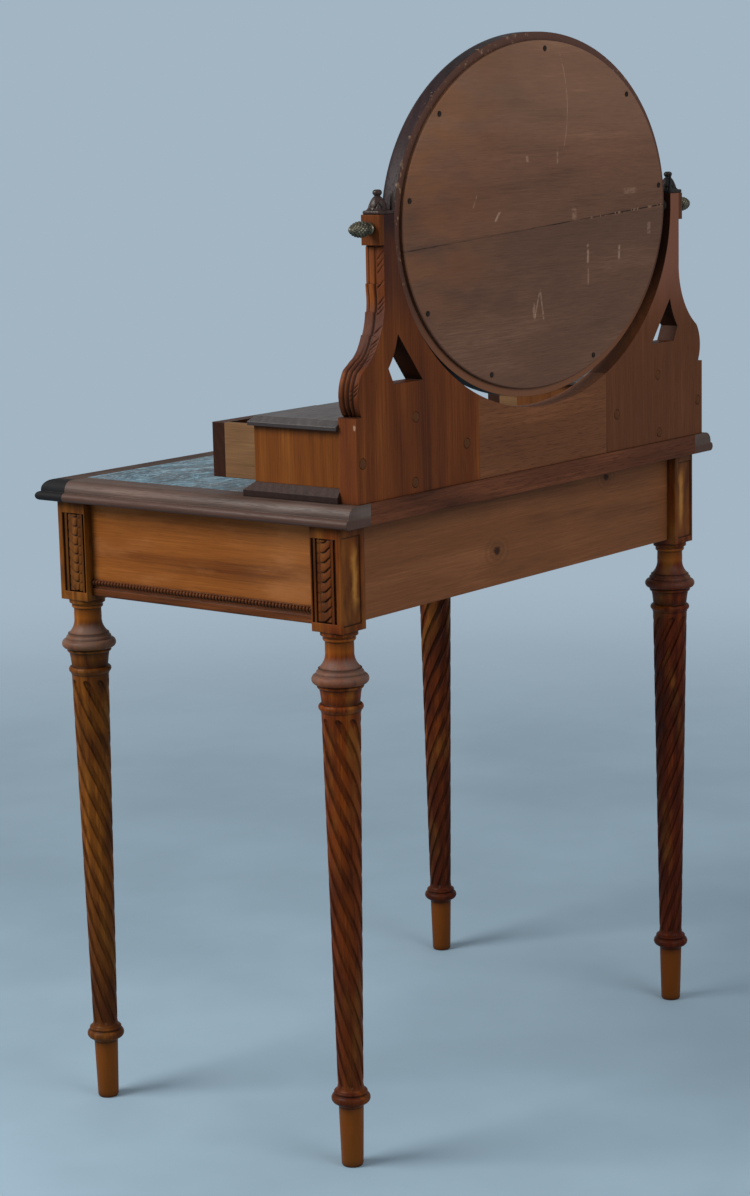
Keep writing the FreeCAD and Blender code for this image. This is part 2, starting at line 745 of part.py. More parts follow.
def make_pivots():
    """The pins that the mirror turns on and a cone-shaped knob on the outer end of each."""
    start = mirror_half_x - size.pivot_grip
    pin = rod("pin", size.pivot_radius, knob_start_x + size.pivot_reach - start, X_AXIS,
              (start, pivot_y, pivot_z))
    shoulder = rod("pin_shoulder", size.pivot_shoulder_radius, size.mirror_side_gap - size.pivot_shoulder_gap,
                   X_AXIS, (mirror_half_x, pivot_y, pivot_z))
    pin_right = combined("Fuse", "pin_right", pin, shoulder)
    node("pivot_pins", group("pins", [pin_right, mirrored("pin_left", pin_right)]))

    total = size.knob_collar_length + size.knob_cone_length
    outline = Path(zero, zero)
    outline.line(size.knob_collar_radius, zero)
    outline.line(size.knob_collar_radius, size.knob_collar_length)
    outline.bulge(size.knob_tip_radius, total, size.knob_cone_bulge, True)
    outline.line(zero, total)
    cone = turn(turned("cone", outline), Y_AXIS, 90)
    move(cone, knob_start_x, pivot_y, pivot_z)
    bore = rod("knob_bore", size.pivot_radius + size.pivot_clearance, size.knob_bore_depth, X_AXIS,
               (knob_start_x, pivot_y, pivot_z))
    knob = combined("Cut", "knob_bored", cone, bore)
    node("pivot_knob_right", knob)
    node("pivot_knob_left", mirrored("knob_left", knob))


def make_mirror():
    """The framed mirror, drawn upright about its pivot line and then leaned back."""
    front = -size.mirror_frame_front_depth
    back = size.mirror_frame_back_depth
    lip_back = front + size.mirror_lip_thickness
    glass_back = lip_back + size.glass_thickness
    panel_back = back + size.mirror_back_thickness
    half_x, half_z = mirror_half_x, mirror_half_z
    sight_x, sight_z = half_x - size.mirror_frame_width, half_z - size.mirror_frame_width
    rebate_x, rebate_z = sight_x + size.mirror_lip_width, sight_z + size.mirror_lip_width
    panel_x, panel_z = half_x - size.mirror_back_setin, half_z - size.mirror_back_setin

    shanks, heads = [], []
    for number, turn_share in enumerate(SCREW_TURN_SHARES):
        x = (panel_x - size.screw_setin) * math.cos(math.tau * turn_share)
        z = (panel_z - size.screw_setin) * math.sin(math.tau * turn_share)
        shanks.append(rod(f"screw_shank_{number}", size.screw_shank_radius, size.screw_length, Y_AXIS,
                          (x, panel_back - size.screw_length, z)))
        heads.append(rod(f"screw_head_{number}", size.screw_head_radius, size.screw_head_height, Y_AXIS,
                         (x, panel_back, z)))
    socket = rod("pin_socket", size.pivot_radius, size.pivot_grip + size.overrun, X_AXIS,
                 (half_x - size.pivot_grip, zero, zero))
    past_back = back + size.overrun
    openings = merged("frame_openings", [
        oval("sight", sight_x, sight_z, front - size.overrun, past_back, zero),
        oval("rebate", rebate_x, rebate_z, lip_back, past_back, zero),
        socket, mirrored("pin_socket_left", socket), *shanks])
    blank = oval("frame_blank", half_x, half_z, front, back, zero)
    opened = combined("Cut", "frame_opened", blank, openings)
    whole = oval("panel_blank", panel_x, panel_z, back, panel_back, zero)
    doc.recompute()
    rounded = doc.addObject("Part::Fillet", "frame_rounded")
    rounded.Base = opened
    in_front = (front + size.mirror_lip_thickness / 2).number
    roundings = []
    for number, edge in enumerate(opened.Shape.Edges, start=1):
        if edge.BoundBox.YMax < in_front:
            outermost = edge.BoundBox.XMax > rebate_x.number
            rounding = size.mirror_outer_rounding if outermost else size.mirror_inner_rounding
            roundings.append((number, rounding.number, rounding.number))
    rounded.Edges = roundings
    eased = doc.addObject("Part::Chamfer", "panel_eased")
    eased.Base = whole
    behind = (back + size.mirror_back_thickness / 2).number
    chamfer = size.mirror_back_chamfer.number
    eased.Edges = [(number, chamfer, chamfer) for number, edge in enumerate(whole.Shape.Edges, start=1)
                   if edge.BoundBox.YMin > behind]
    drilled = combined("Cut", "panel_drilled", eased, merged("screw_holes", shanks))
    joint = Path(-half_x, -half_z)
    joint.line(half_x, -half_z)
    joint.line(half_x, -size.mirror_joint_drop - size.mirror_joint_fall / 2)
    joint.line(-half_x, size.mirror_joint_fall / 2 - size.mirror_joint_drop)
    below = prism("below_joint", "XZ_Plane", joint, size.mirror_back_thickness, (zero, panel_back, zero))

    glass = oval("glass", rebate_x - size.glass_clearance, rebate_z - size.glass_clearance,
                 lip_back, glass_back, zero)
    along = (-size.glass_block_length / 2, size.glass_block_length / 2)
    block_x, block_z = rebate_x - size.glass_block_gap, rebate_z - size.glass_block_gap
    depth = (glass_back, back)
    end_block = box("end_block", (block_x - size.glass_block_width, block_x), depth, along)
    blocks = [end_block, mirrored("end_block_left", end_block),
              box("top_block", along, depth, (block_z - size.glass_block_width, block_z)),
              box("bottom_block", along, depth, (-block_z, size.glass_block_width - block_z))]
    screws = [combined("Fuse", f"screw_{number}", shank, head)
              for number, (shank, head) in enumerate(zip(shanks, heads))]
    pieces = (
        ("mirror_frame", [rounded]),
        ("mirror_glass", [glass]),
        ("glass_blocks", blocks),
        ("mirror_back_upper", [combined("Cut", "upper_panel", drilled, below)]),
        ("mirror_back_lower", [combined("Common", "lower_panel", drilled, below)]),
        ("mirror_back_screws", screws))
    for label, parts in pieces:
        leaning = turn(group(label + "_leaning", parts), X_AXIS, -MIRROR_LEAN)
        node(label, move(leaning, zero, pivot_y, pivot_z))


def bevelled_slab(name, low, face, bevel, end_bevel, front_bevel, x, y):
    """A slab whose edge is plain and then bevelled back, at both ends and at the front."""
    high = low + face + bevel
    ends = Path(x[0], low)
    ends.line(x[1], low)
    ends.line(x[1], low + face)
    ends.line(x[1] - end_bevel, high)
    ends.line(x[0] + end_bevel, high)
    ends.line(x[0], low + face)
    front = Path(y[0], low)
    front.line(y[1], low)
    front.line(y[1], high)
    front.line(y[0] + front_bevel, high)
    front.line(y[0], low + face)
    lengthwise = prism(name + "_ends", "XZ_Plane", ends, y[1] - y[0], (zero, y[1], zero))
    crosswise = prism(name + "_front", "YZ_Plane", front, x[1] - x[0], (x[0], zero, zero))
    return combined("Common", name, lengthwise, crosswise)


def make_small_drawer(side, sign, near, far, z, face_y):
    """One small drawer, pulled out as far as it stands at rest."""
    def span(inner, outer):
        return (inner, outer) if sign > 0 else (-outer, -inner)

    name = f"small_drawer_{side}"
    wall = size.small_drawer_side_thickness
    behind = face_y + size.small_drawer_front_thickness
    end = face_y + size.small_drawer_length
    bottom_low = z[0] + size.small_drawer_bottom_rise
    bottom_top = bottom_low + size.small_drawer_bottom_thickness
    between = span(near + wall, far - wall)
    middle = ((near + far) / 2 * sign, face_y, (z[0] + z[1]) / 2)
    panel = box(name + "_panel", span(near, far), (face_y, behind), z)
    bore = rod(name + "_bore", size.small_knob_spigot_radius, size.small_knob_spigot_length, Y_AXIS, middle)
    knob = turn(turned(name + "_turning", knob_outline("small_knob")), X_AXIS, 90)
    node(name + "_front", combined("Cut", name + "_panel_bored", panel, bore))
    node(name + "_knob", move(knob, *middle))
    node(name + "_outer_side", box(name + "_outer", span(far - wall, far), (behind, end), z))
    node(name + "_inner_side", box(name + "_inner", span(near, near + wall), (behind, end), z))
    node(name + "_back", box(name + "_end", between, (end - wall, end), (bottom_top, z[1])))
    node(name + "_bottom", box(name + "_floor", between, (behind, end), (bottom_low, bottom_top)))


def make_cases():
    """Two small cases on the top, left and right of the mirror, each with one drawer."""
    case_out = board_half - size.case_setin
    case_in = case_out - size.case_width
    face_y = board_front - size.case_depth
    base_top = size.table_height + size.case_base_face + size.case_base_bevel
    side_top = base_top + size.case_side_height
    x = (case_in - size.case_overhang, case_out + size.case_overhang)
    base = bevelled_slab("case_base", size.table_height, size.case_base_face, size.case_base_bevel,
                         size.case_overhang, size.case_base_front_overhang, x,
                         (face_y - size.case_base_front_overhang, board_front))
    top = bevelled_slab("case_top", side_top, size.case_top_face, size.case_top_bevel,
                        size.case_top_bevel_width, size.case_top_front_overhang, x,
                        (face_y - size.case_top_front_overhang, board_front))
    outer_in = case_out - size.case_side_thickness
    inner_out = case_in + size.case_side_thickness
    y, z = (face_y, board_front), (base_top, side_top)
    outer = box("case_outer", (outer_in, case_out), y, z)
    inner = box("case_inner", (case_in, inner_out), y, z)
    for label, piece in (("base", base), ("top", top), ("outer_side", outer), ("inner_side", inner)):
        node(f"case_right_{label}", piece)
        node(f"case_left_{label}", mirrored(f"left_{label}", piece))

    near = inner_out + size.small_drawer_side_clearance
    far = outer_in - size.small_drawer_side_clearance
    drawer_z = (base_top, side_top - size.small_drawer_top_clearance)
    make_small_drawer("right", 1, near, far, drawer_z, face_y - size.small_drawer_opening_right)
    make_small_drawer("left", -1, near, far, drawer_z, face_y - size.small_drawer_opening_left)


make_legs()
make_top()
make_aprons()
make_apron_drawer()
make_board()
make_upright_ends()
make_pivots()
make_mirror()
make_cases()
doc.recompute()

for item in doc.Objects:
    if "Invalid" in item.State or "Error" in item.State:
        raise RuntimeError(f"{item.Name} failed: {item.State}")
for item in nodes:
    if item.Shape.isNull() or not item.Shape.isValid():
        raise RuntimeError(f"{item.Label} has no valid shape")

os.makedirs("parts", exist_ok=True)
for item in nodes:
    item.Shape.exportStep(f"parts/{item.Label}.step")
    print(item.Label, len(item.Shape.Solids), "solids", round(item.Shape.Volume), "cubic mm")
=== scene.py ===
import math
import bmesh
import bpy
from mathutils import Matrix, Vector


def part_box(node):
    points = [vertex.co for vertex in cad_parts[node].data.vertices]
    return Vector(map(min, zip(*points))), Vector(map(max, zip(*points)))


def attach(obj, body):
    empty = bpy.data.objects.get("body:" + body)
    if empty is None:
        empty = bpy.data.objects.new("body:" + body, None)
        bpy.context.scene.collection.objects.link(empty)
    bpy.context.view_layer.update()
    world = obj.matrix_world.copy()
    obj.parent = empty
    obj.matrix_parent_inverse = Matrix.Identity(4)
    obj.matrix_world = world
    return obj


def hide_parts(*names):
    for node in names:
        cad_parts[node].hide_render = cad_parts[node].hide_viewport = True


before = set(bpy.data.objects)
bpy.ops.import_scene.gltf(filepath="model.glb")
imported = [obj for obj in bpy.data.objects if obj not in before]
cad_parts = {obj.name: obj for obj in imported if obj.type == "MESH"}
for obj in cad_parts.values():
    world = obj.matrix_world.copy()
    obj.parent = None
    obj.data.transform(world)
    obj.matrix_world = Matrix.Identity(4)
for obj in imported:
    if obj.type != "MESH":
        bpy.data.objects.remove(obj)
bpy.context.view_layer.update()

# ---- Legs -------------------------------------------------------------------------------------
# Each leg is one length of walnut, turned and then cut with eight spiral flutes. The square stile
# above holds the aprons; its back or front face has a plain sunk panel, and its side face a sunk
# panel with a band carved like a twisted ribbon. The spirals of the two ends run opposite ways.


class Flow:
    """What one output of a node gives: a number, a vector or a colour. Sums of flows add more nodes."""

    def __init__(self, tree, socket):
        self.tree, self.socket = tree, socket

    def beside(self, name):
        """Another output of the same node."""
        return Flow(self.tree, self.socket.node.outputs[name])

    def maths(self, operation, other=0.0, clamp=False):
        return add(self.tree, "ShaderNodeMath", {0: self, 1: other}, operation=operation, use_clamp=clamp)

    def __add__(self, other):
        return self.maths("ADD", other)

    def __sub__(self, other):
        return self.maths("SUBTRACT", other)

    def __mul__(self, other):
        return self.maths("MULTIPLY", other)

    def __truediv__(self, other):
        return self.maths("DIVIDE", other)

    def __abs__(self):
        return self.maths("ABSOLUTE")

    def vector_maths(self, operation, other=(0, 0, 0), output=0):
        return add(self.tree, "ShaderNodeVectorMath", {0: self, 1: other}, output, operation=operation)

    def away_from(self, spot, weights):
        """How far a place lies from a spot, with a weight for each axis."""
        gap = self.vector_maths("SUBTRACT", spot).vector_maths("MULTIPLY", weights)
        return gap.vector_maths("LENGTH", output="Value")

    def parts(self):
        """A vector's parts along X, Y and Z."""
        split = add(self.tree, "ShaderNodeSeparateXYZ", {0: self})
        return [split.beside(axis) for axis in "XYZ"]

    def ramped(self, low, high, start=0.0, end=1.0):
        """The smooth way from start where the value is low to end where it is high."""
        return add(self.tree, "ShaderNodeMapRange", {0: self, 1: low, 2: high, 3: start, 4: end},
                   interpolation_type="SMOOTHSTEP")

    def noise(self, scale, detail=3.0, rough=0.55):
        """Cloudy noise at a place, with its own scale along each axis."""
        grid = self.vector_maths("MULTIPLY", scale)
        return add(self.tree, "ShaderNodeTexNoise",
                   {"Vector": grid, "Scale": 1.0, "Detail": detail, "Roughness": rough})

    def effect(self, group, output, **inputs):
        """One output of a shared effect at a place."""
        return add(self.tree, "ShaderNodeGroup", {"Vector": self, **inputs}, output, node_tree=group)


def tone(code):
    """A colour from its six hexadecimal digits, as the screen shows it."""
    parts = [int(code[i:i + 2], 16) / 255 for i in (0, 2, 4)]
    return [p / 12.92 if p < 0.04045 else ((p + 0.055) / 1.055) ** 2.4 for p in parts] + [1.0]


def add(tree, kind, feeds, output=0, **settings):
    """A node with its settings; an input takes a flow, a value, or the six digits of a colour."""
    made = tree.nodes.new(kind)
    for key, value in settings.items():
        setattr(made, key, value)
    for key, value in feeds.items():
        if isinstance(value, Flow):
            tree.links.new(value.socket, made.inputs[key])
        else:
            made.inputs[key].default_value = tone(value) if isinstance(value, str) else value
    return Flow(tree, made.outputs[output])


def over(share, under, upper):
    """A share of one colour laid over another."""
    return add(share.tree, "ShaderNodeMix", {0: share, 6: under, 7: upper}, 2, data_type="RGBA")


def shared_effect(name, **inputs):
    """A node group and its inputs: vectors, colours, or numbers with the value they start from."""
    tree = bpy.data.node_groups.new(name, "ShaderNodeTree")
    for label, value in inputs.items():
        kind = value if isinstance(value, str) else "Float"
        socket = tree.interface.new_socket(name=label, in_out="INPUT", socket_type=f"NodeSocket{kind}")
        if kind == "Float":
            socket.default_value = value
    given = tree.nodes.new("NodeGroupInput").outputs
    return tree, [Flow(tree, given[label]) for label in inputs]


def give(tree, **results):
    """Send the results of a node group to its outputs."""
    kinds = {"Color": "NodeSocketColor", "Normal": "NodeSocketVector"}
    for label in results:
        tree.interface.new_socket(name=label, in_out="OUTPUT", socket_type=kinds.get(label, "NodeSocketFloat"))
    outputs = tree.nodes.new("NodeGroupOutput").inputs
    for label, flow in results.items():
        tree.links.new(flow.socket, outputs[label])


def bare_material(name):
    """A new material with an empty tree, and each point's place on the object."""
    material = bpy.data.materials.new(name)
    material.use_nodes = True
    material.node_tree.nodes.clear()
    return material, add(material.node_tree, "ShaderNodeTexCoord", {}, "Object")


def surface(shader, kind="Material"):
    """Send a shader to the output of its material or world."""
    shader.tree.links.new(shader.socket, shader.tree.nodes.new(f"ShaderNodeOutput{kind}").inputs["Surface"])


timber, (place, pale, ground, dark, rings, figure, streaks, pores, rough) = shared_effect(
    "timber", Vector="Vector", Pale="Color", Ground="Color", Dark="Color", Rings=110.0, Figure=0.3, Streaks=0.6,
    Pores=0.5, Roughness=0.5)
beside, above = place.parts()[1:]
reach = (beside * beside + above * above).maths("SQRT") + place.noise((1.3, 7, 7), 2.0) * 0.07
ring = (reach * rings * 6.283).maths("SINE")
streak = place.noise((2.6, 120, 120), 4.0, 0.7) * 0.45 + place.noise((5, 380, 380), 3.0, 0.6) * 0.55
cloud = place.noise((4, 11, 11)) - 0.5
share = ring * (figure * 0.5) + (streak - 0.5) * (streaks * 2.4) + cloud * 0.8
share = share.maths("ADD", 0.5, True)
colour = over(share.ramped(0.5, 1.0), over(share.ramped(0.0, 0.5), dark, ground), pale)
fibre = place.noise((22, 800, 800), 2.0)
pore = place.noise((60, 1300, 1300), 0.0).ramped(0.58, 0.7) * pores
shade = fibre.ramped(0.2, 0.8, 0.84, 1.12) * pore.ramped(0.0, 1.0, 1.0, 0.45)
grey = add(timber, "ShaderNodeCombineColor", {0: shade, 1: shade, 2: shade})
shaded = add(timber, "ShaderNodeMix", {0: 1.0, 6: colour, 7: grey}, 2, data_type="RGBA", blend_type="MULTIPLY")
give(timber, Color=shaded, Roughness=rough + cloud * 0.35 + pore * 0.2, Height=fibre * 0.5 - pore)

# Painted shade from ambient occlusion in corners, joints and hollows, with dirt settled there, broken up by cloudy
# noise
shade_and_grime, (place, reach) = shared_effect("painted shade and grime", Vector="Vector", Reach=0.012)
shut = add(shade_and_grime, "ShaderNodeAmbientOcclusion", {"Distance": reach}, "AO", samples=6).ramped(0.2, 0.85, 1.0, 0.0)
give(shade_and_grime, Mask=shut * place.noise((60, 60, 60)).ramped(0.25, 0.6, 0.55, 1.0))

# Edges rubbed by hands: the mask of the wear, and the normal that rounds them
rubbed, (place, radius) = shared_effect("rubbed edges", Vector="Vector", Radius=0.0012)
eased = add(rubbed, "ShaderNodeBevel", {"Radius": radius}, samples=6)
square = add(rubbed, "ShaderNodeNewGeometry", {}, "Normal")
wear = eased.vector_maths("DOT_PRODUCT", square, "Value").ramped(0.8, 0.99, 1.0, 0.0)
give(rubbed, Mask=wear * place.noise((45, 45, 45)).ramped(0.35, 0.65), Normal=eased)

GRAIN_TURNS = {"X": (0, 0, 0), "Y": (0, 0, -math.pi / 2), "Z": (0, math.pi / 2, 0)}


def wood(name, along, shift, pale, ground, dark, worn=None, end=None, rings=110.0, figure=0.3, streaks=0.6, pores=0.5,
         rough=0.5, shine=0.1, shade_and_soil=0.8, rub=0.4, tilt=0.0, carved=0.0, marks=lambda place: ()):
    """Timber with its grain along an axis of the object; marks are stains and painted shade, each a mask and a colour.
    """
    material, place = bare_material(name)
    turn = list(GRAIN_TURNS[along])
    turn[1 if along == "Z" else 2] += math.radians(tilt)
    grain = add(place.tree, "ShaderNodeMapping", {"Vector": place, "Location": shift, "Rotation": turn})
    board = grain.effect(timber, "Color", Pale=pale, Ground=ground, Dark=dark, Rings=rings, Figure=figure,
                         Streaks=streaks, Pores=pores, Roughness=rough)
    facing = place.beside("Normal").vector_maths("DOT_PRODUCT", [float(axis == along) for axis in "XYZ"], "Value")
    colour = over(abs(facing).ramped(0.75, 0.95, 0.0, 0.7), board, end or dark)
    for share, stain in marks(place):
        colour = over(share, colour, stain)
    edge = place.effect(rubbed, "Mask")
    colour = over(edge * rub, colour, worn or pale)
    # Painted shade and dirt darken corners, joints and hollows
    colour = over(place.effect(shade_and_grime, "Mask") * shade_and_soil, colour, "120a05")
    # Painted shade darkens the carved cuts, grooves and sunk panel walls
    if carved:
        cuts = add(place.tree, "ShaderNodeAttribute", {}, "Fac", attribute_name="hollow")
        colour = over(cuts * carved, colour, "1a0c05")
    bump = add(place.tree, "ShaderNodeBump", {"Height": board.beside("Height"), "Normal": edge.beside("Normal"),
                                              "Strength": 0.35, "Distance": 0.0004})
    surface(add(place.tree, "ShaderNodeBsdfPrincipled",
                {"Base Color": colour, "Roughness": board.beside("Roughness"), "Normal": bump,
                 "Specular IOR Level": shine}))
    return material


def finished(shape, name, material, slot, body, *stands_for, angle=35.0):
    """Make the bmesh a piece of the object: shaded, coloured, and riding on its body."""
    bmesh.ops.remove_doubles(shape, verts=shape.verts, dist=1e-6)
    bmesh.ops.recalc_face_normals(shape, faces=shape.faces)
    mesh = bpy.data.meshes.new(name)
    for face in shape.faces:
        face.smooth = True
    for edge in shape.edges:
        edge.smooth = edge.is_manifold and edge.calc_face_angle(0.0) < math.radians(angle)
    shape.to_mesh(mesh)
    shape.free()
    piece = bpy.data.objects.new(name, mesh)
    bpy.context.scene.collection.objects.link(piece)
    mesh.materials.append(material)
    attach(piece, body)
    if stands_for:
        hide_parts(*stands_for)


def dress(material, *nodes):
    """Give CAD pieces whose shape is right their finish."""
    for node in nodes:
        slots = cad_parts[node].material_slots
        if not slots:
            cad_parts[node].data.materials.append(material)
        for place in slots:
            place.material = material


def deepened(shape):
    """The layer of painted shade in carved cuts and grooves: how dark each vertex is made, from 0 to 1."""
    return shape.verts.layers.float.get("hollow") or shape.verts.layers.float.new("hollow")


def turned(points, steps):
    """An outline of points (radius, height), turned round the Z axis and closed at both ends."""
    shape = bmesh.new()
    chain = [shape.verts.new((radius, 0, height)) for radius, height in points]
    for first, second in zip(chain, chain[1:]):
        shape.edges.new((first, second))
    bmesh.ops.spin(shape, geom=shape.verts[:] + shape.edges[:], cent=(0, 0, 0), axis=(0, 0, 1),
                   angle=2 * math.pi, steps=steps, use_merge=True)
    bmesh.ops.remove_doubles(shape, verts=shape.verts, dist=1e-6)
    return shape


def bulged(start, end, rise, count):
    """Points of a shallow arc from start to end that swells outwards, or inwards where rise is negative."""
    (r0, z0), (r1, z1) = start, end
    length = math.hypot(r1 - r0, z1 - z0)
    across = ((z1 - z0) / length, -(r1 - r0) / length)
    half = 2 * math.atan(2 * abs(rise) / length)
    radius = length / 2 / math.sin(half)
    sign = math.copysign(1.0, rise)
    points = []
    for i in range(1, count + 1):
        angle = -half + 2 * half * i / count
        ahead = length / 2 + radius * math.sin(angle)
        out_by = sign * (radius * math.cos(angle) - radius * math.cos(half))
        points.append((r0 + (r1 - r0) * ahead / length + across[0] * out_by,
                       z0 + (z1 - z0) * ahead / length + across[1] * out_by))
    return points


def eased_step(value, low, high):
    """The smooth way from 0 below the low value to 1 above the high one."""
    share = min(1.0, max(0.0, (value - low) / (high - low)))
    return share * share * (3 - 2 * share)


def peak(value, middle, width):
    """1 at the middle, falling away smoothly on both sides of it."""
    return math.exp(-((value - middle) / width) ** 2)


def block(shape, low, high):
    """Add a rectangular block between two corners to a shape."""
    made = bmesh.ops.create_cube(shape, size=1.0)["verts"]
    low, high = Vector(low), Vector(high)
    bmesh.ops.scale(shape, vec=high - low, verts=made)
    bmesh.ops.translate(shape, vec=(low + high) / 2, verts=made)
    return made


def softened(shape, edges, width, segments=2):
    """Round some edges of a shape."""
    bmesh.ops.bevel(shape, geom=edges, offset=width, offset_type="OFFSET", affect="EDGES", segments=segments,
                    profile=0.5, material=-1)


def joined(shape, *parts):
    """The shape with other shapes added to it."""
    carried = bpy.data.meshes.new("carried parts")
    for part in parts:
        part.to_mesh(carried)
        shape.from_mesh(carried)
        part.free()
    return shape


def sided(shape, side):
    """The shape of the right end as it is, or mirrored for the left end."""
    bmesh.ops.scale(shape, vec=(side, 1, 1), verts=shape.verts)
    return shape


LEG_X, LEG_Y = 0.339, 0.1875
STILE_HALF, STILE_LOW, STILE_MIDDLE, STILE_HIGH = 0.021, 0.61, 0.668, 0.726
SHAFT_LOW, SHAFT_LENGTH = 0.095, 0.425
FLUTES, FLUTE_TURNS, FLUTE_SHARE = 8, 1.56, 0.23
FLUTE_LOW, FLUTE_HIGH, FLUTE_STARTS = 0.093, 0.5145, {1: 0.332, -1: 0.092}
TURNED_LINES = (0.0703, 0.0851, 0.0949, 0.5208, 0.5302, 0.5467, 0.5512, 0.5632, 0.5694, 0.5988, 0.603, 0.61)
SCALE_PITCH, SCALE_FOOT = 0.01075, 0.6217
BAND_MIDDLE, BAND_HEIGHT, BAND_HALF, BAND_SHIFT = 0.666, 0.0905, 0.01015, -0.00325
shaft_heights = [0.095 + 0.001 * i for i in range(1, 9)] + [0.103 + 0.004 * i for i in range(1, 100)]
shaft_heights += [0.5 + 0.001 * i for i in range(0, 20)]
shaft_rows = [(0.0144 + 0.0072 * (z - SHAFT_LOW) / SHAFT_LENGTH, z) for z in shaft_heights]
column = [(0.0, 0.0), (0.0098, 0.0), (0.0114, 0.0006), (0.0123, 0.0025), (0.0134, 0.045), (0.014, 0.069),
          (0.0142, 0.0702)]
column += bulged((0.0142, 0.0702), (0.0188, 0.0742), -0.0008, 4)
column += bulged((0.0188, 0.0742), (0.0182, 0.0848), 0.0034, 10)
column += [(0.0179, 0.0852)] + bulged((0.0179, 0.0852), (0.0172, 0.0888), 0.0013, 5)
column += bulged((0.0172, 0.0888), (0.0147, 0.0935), -0.0008, 4) + [(0.0144, 0.095)] + shaft_rows
column += [(0.0216, 0.52), (0.0222, 0.5204), (0.0224, 0.5218)] + bulged((0.0221, 0.5222), (0.0213, 0.53), 0.0031, 8)
column += [(0.0211, 0.5304), (0.0222, 0.54), (0.0233, 0.5462), (0.0238, 0.5466)]
column += bulged((0.0238, 0.5466), (0.0248, 0.5508), 0.0015, 5) + bulged((0.0262, 0.5512), (0.0272, 0.5622), 0.0048, 12)
column += [(0.0265, 0.5628), (0.0262, 0.564)] + bulged((0.0262, 0.564), (0.0246, 0.5664), 0.0005, 3)
column += [(0.024, 0.5668), (0.024, 0.569), (0.023, 0.5694), (0.0223, 0.57)]
column += bulged((0.0223, 0.57), (0.016, 0.588), -0.0022, 12) + [(0.0158, 0.5984), (0.0166, 0.5988)]
column += bulged((0.0168, 0.599), (0.0178, 0.6028), 0.0009, 4) + bulged((0.018, 0.603), (0.0203, 0.6052), -0.0005, 3)
column += [(0.0208, 0.6058), (0.0208, 0.6102), (0.0, 0.6102)]


def sunk_panel(stile, direction, across, low, high, depth):
    """A panel cut in one face of the stile between two places across it and two heights, its walls darkened with
    painted shade.
    """
    cuts = deepened(stile)
    face = max(stile.faces, key=lambda f: f.normal.dot(direction) * (1 + f.calc_area()))
    bmesh.ops.inset_individual(stile, faces=[face], thickness=0.006, use_even_offset=True)
    axis = 1 if direction.x else 0
    for vert in face.verts:
        vert.co[axis] = across[1] if vert.co[axis] > 0 else across[0]
        vert.co.z = low if vert.co.z < STILE_MIDDLE else high
    bmesh.ops.inset_individual(stile, faces=[face], thickness=0.0003, depth=-depth, use_even_offset=True)
    for vert in face.verts:
        vert[cuts] = 1.0
    bmesh.ops.inset_individual(stile, faces=[face], thickness=0.002, use_even_offset=True)
    for vert in face.verts:
        vert[cuts] = 0.0


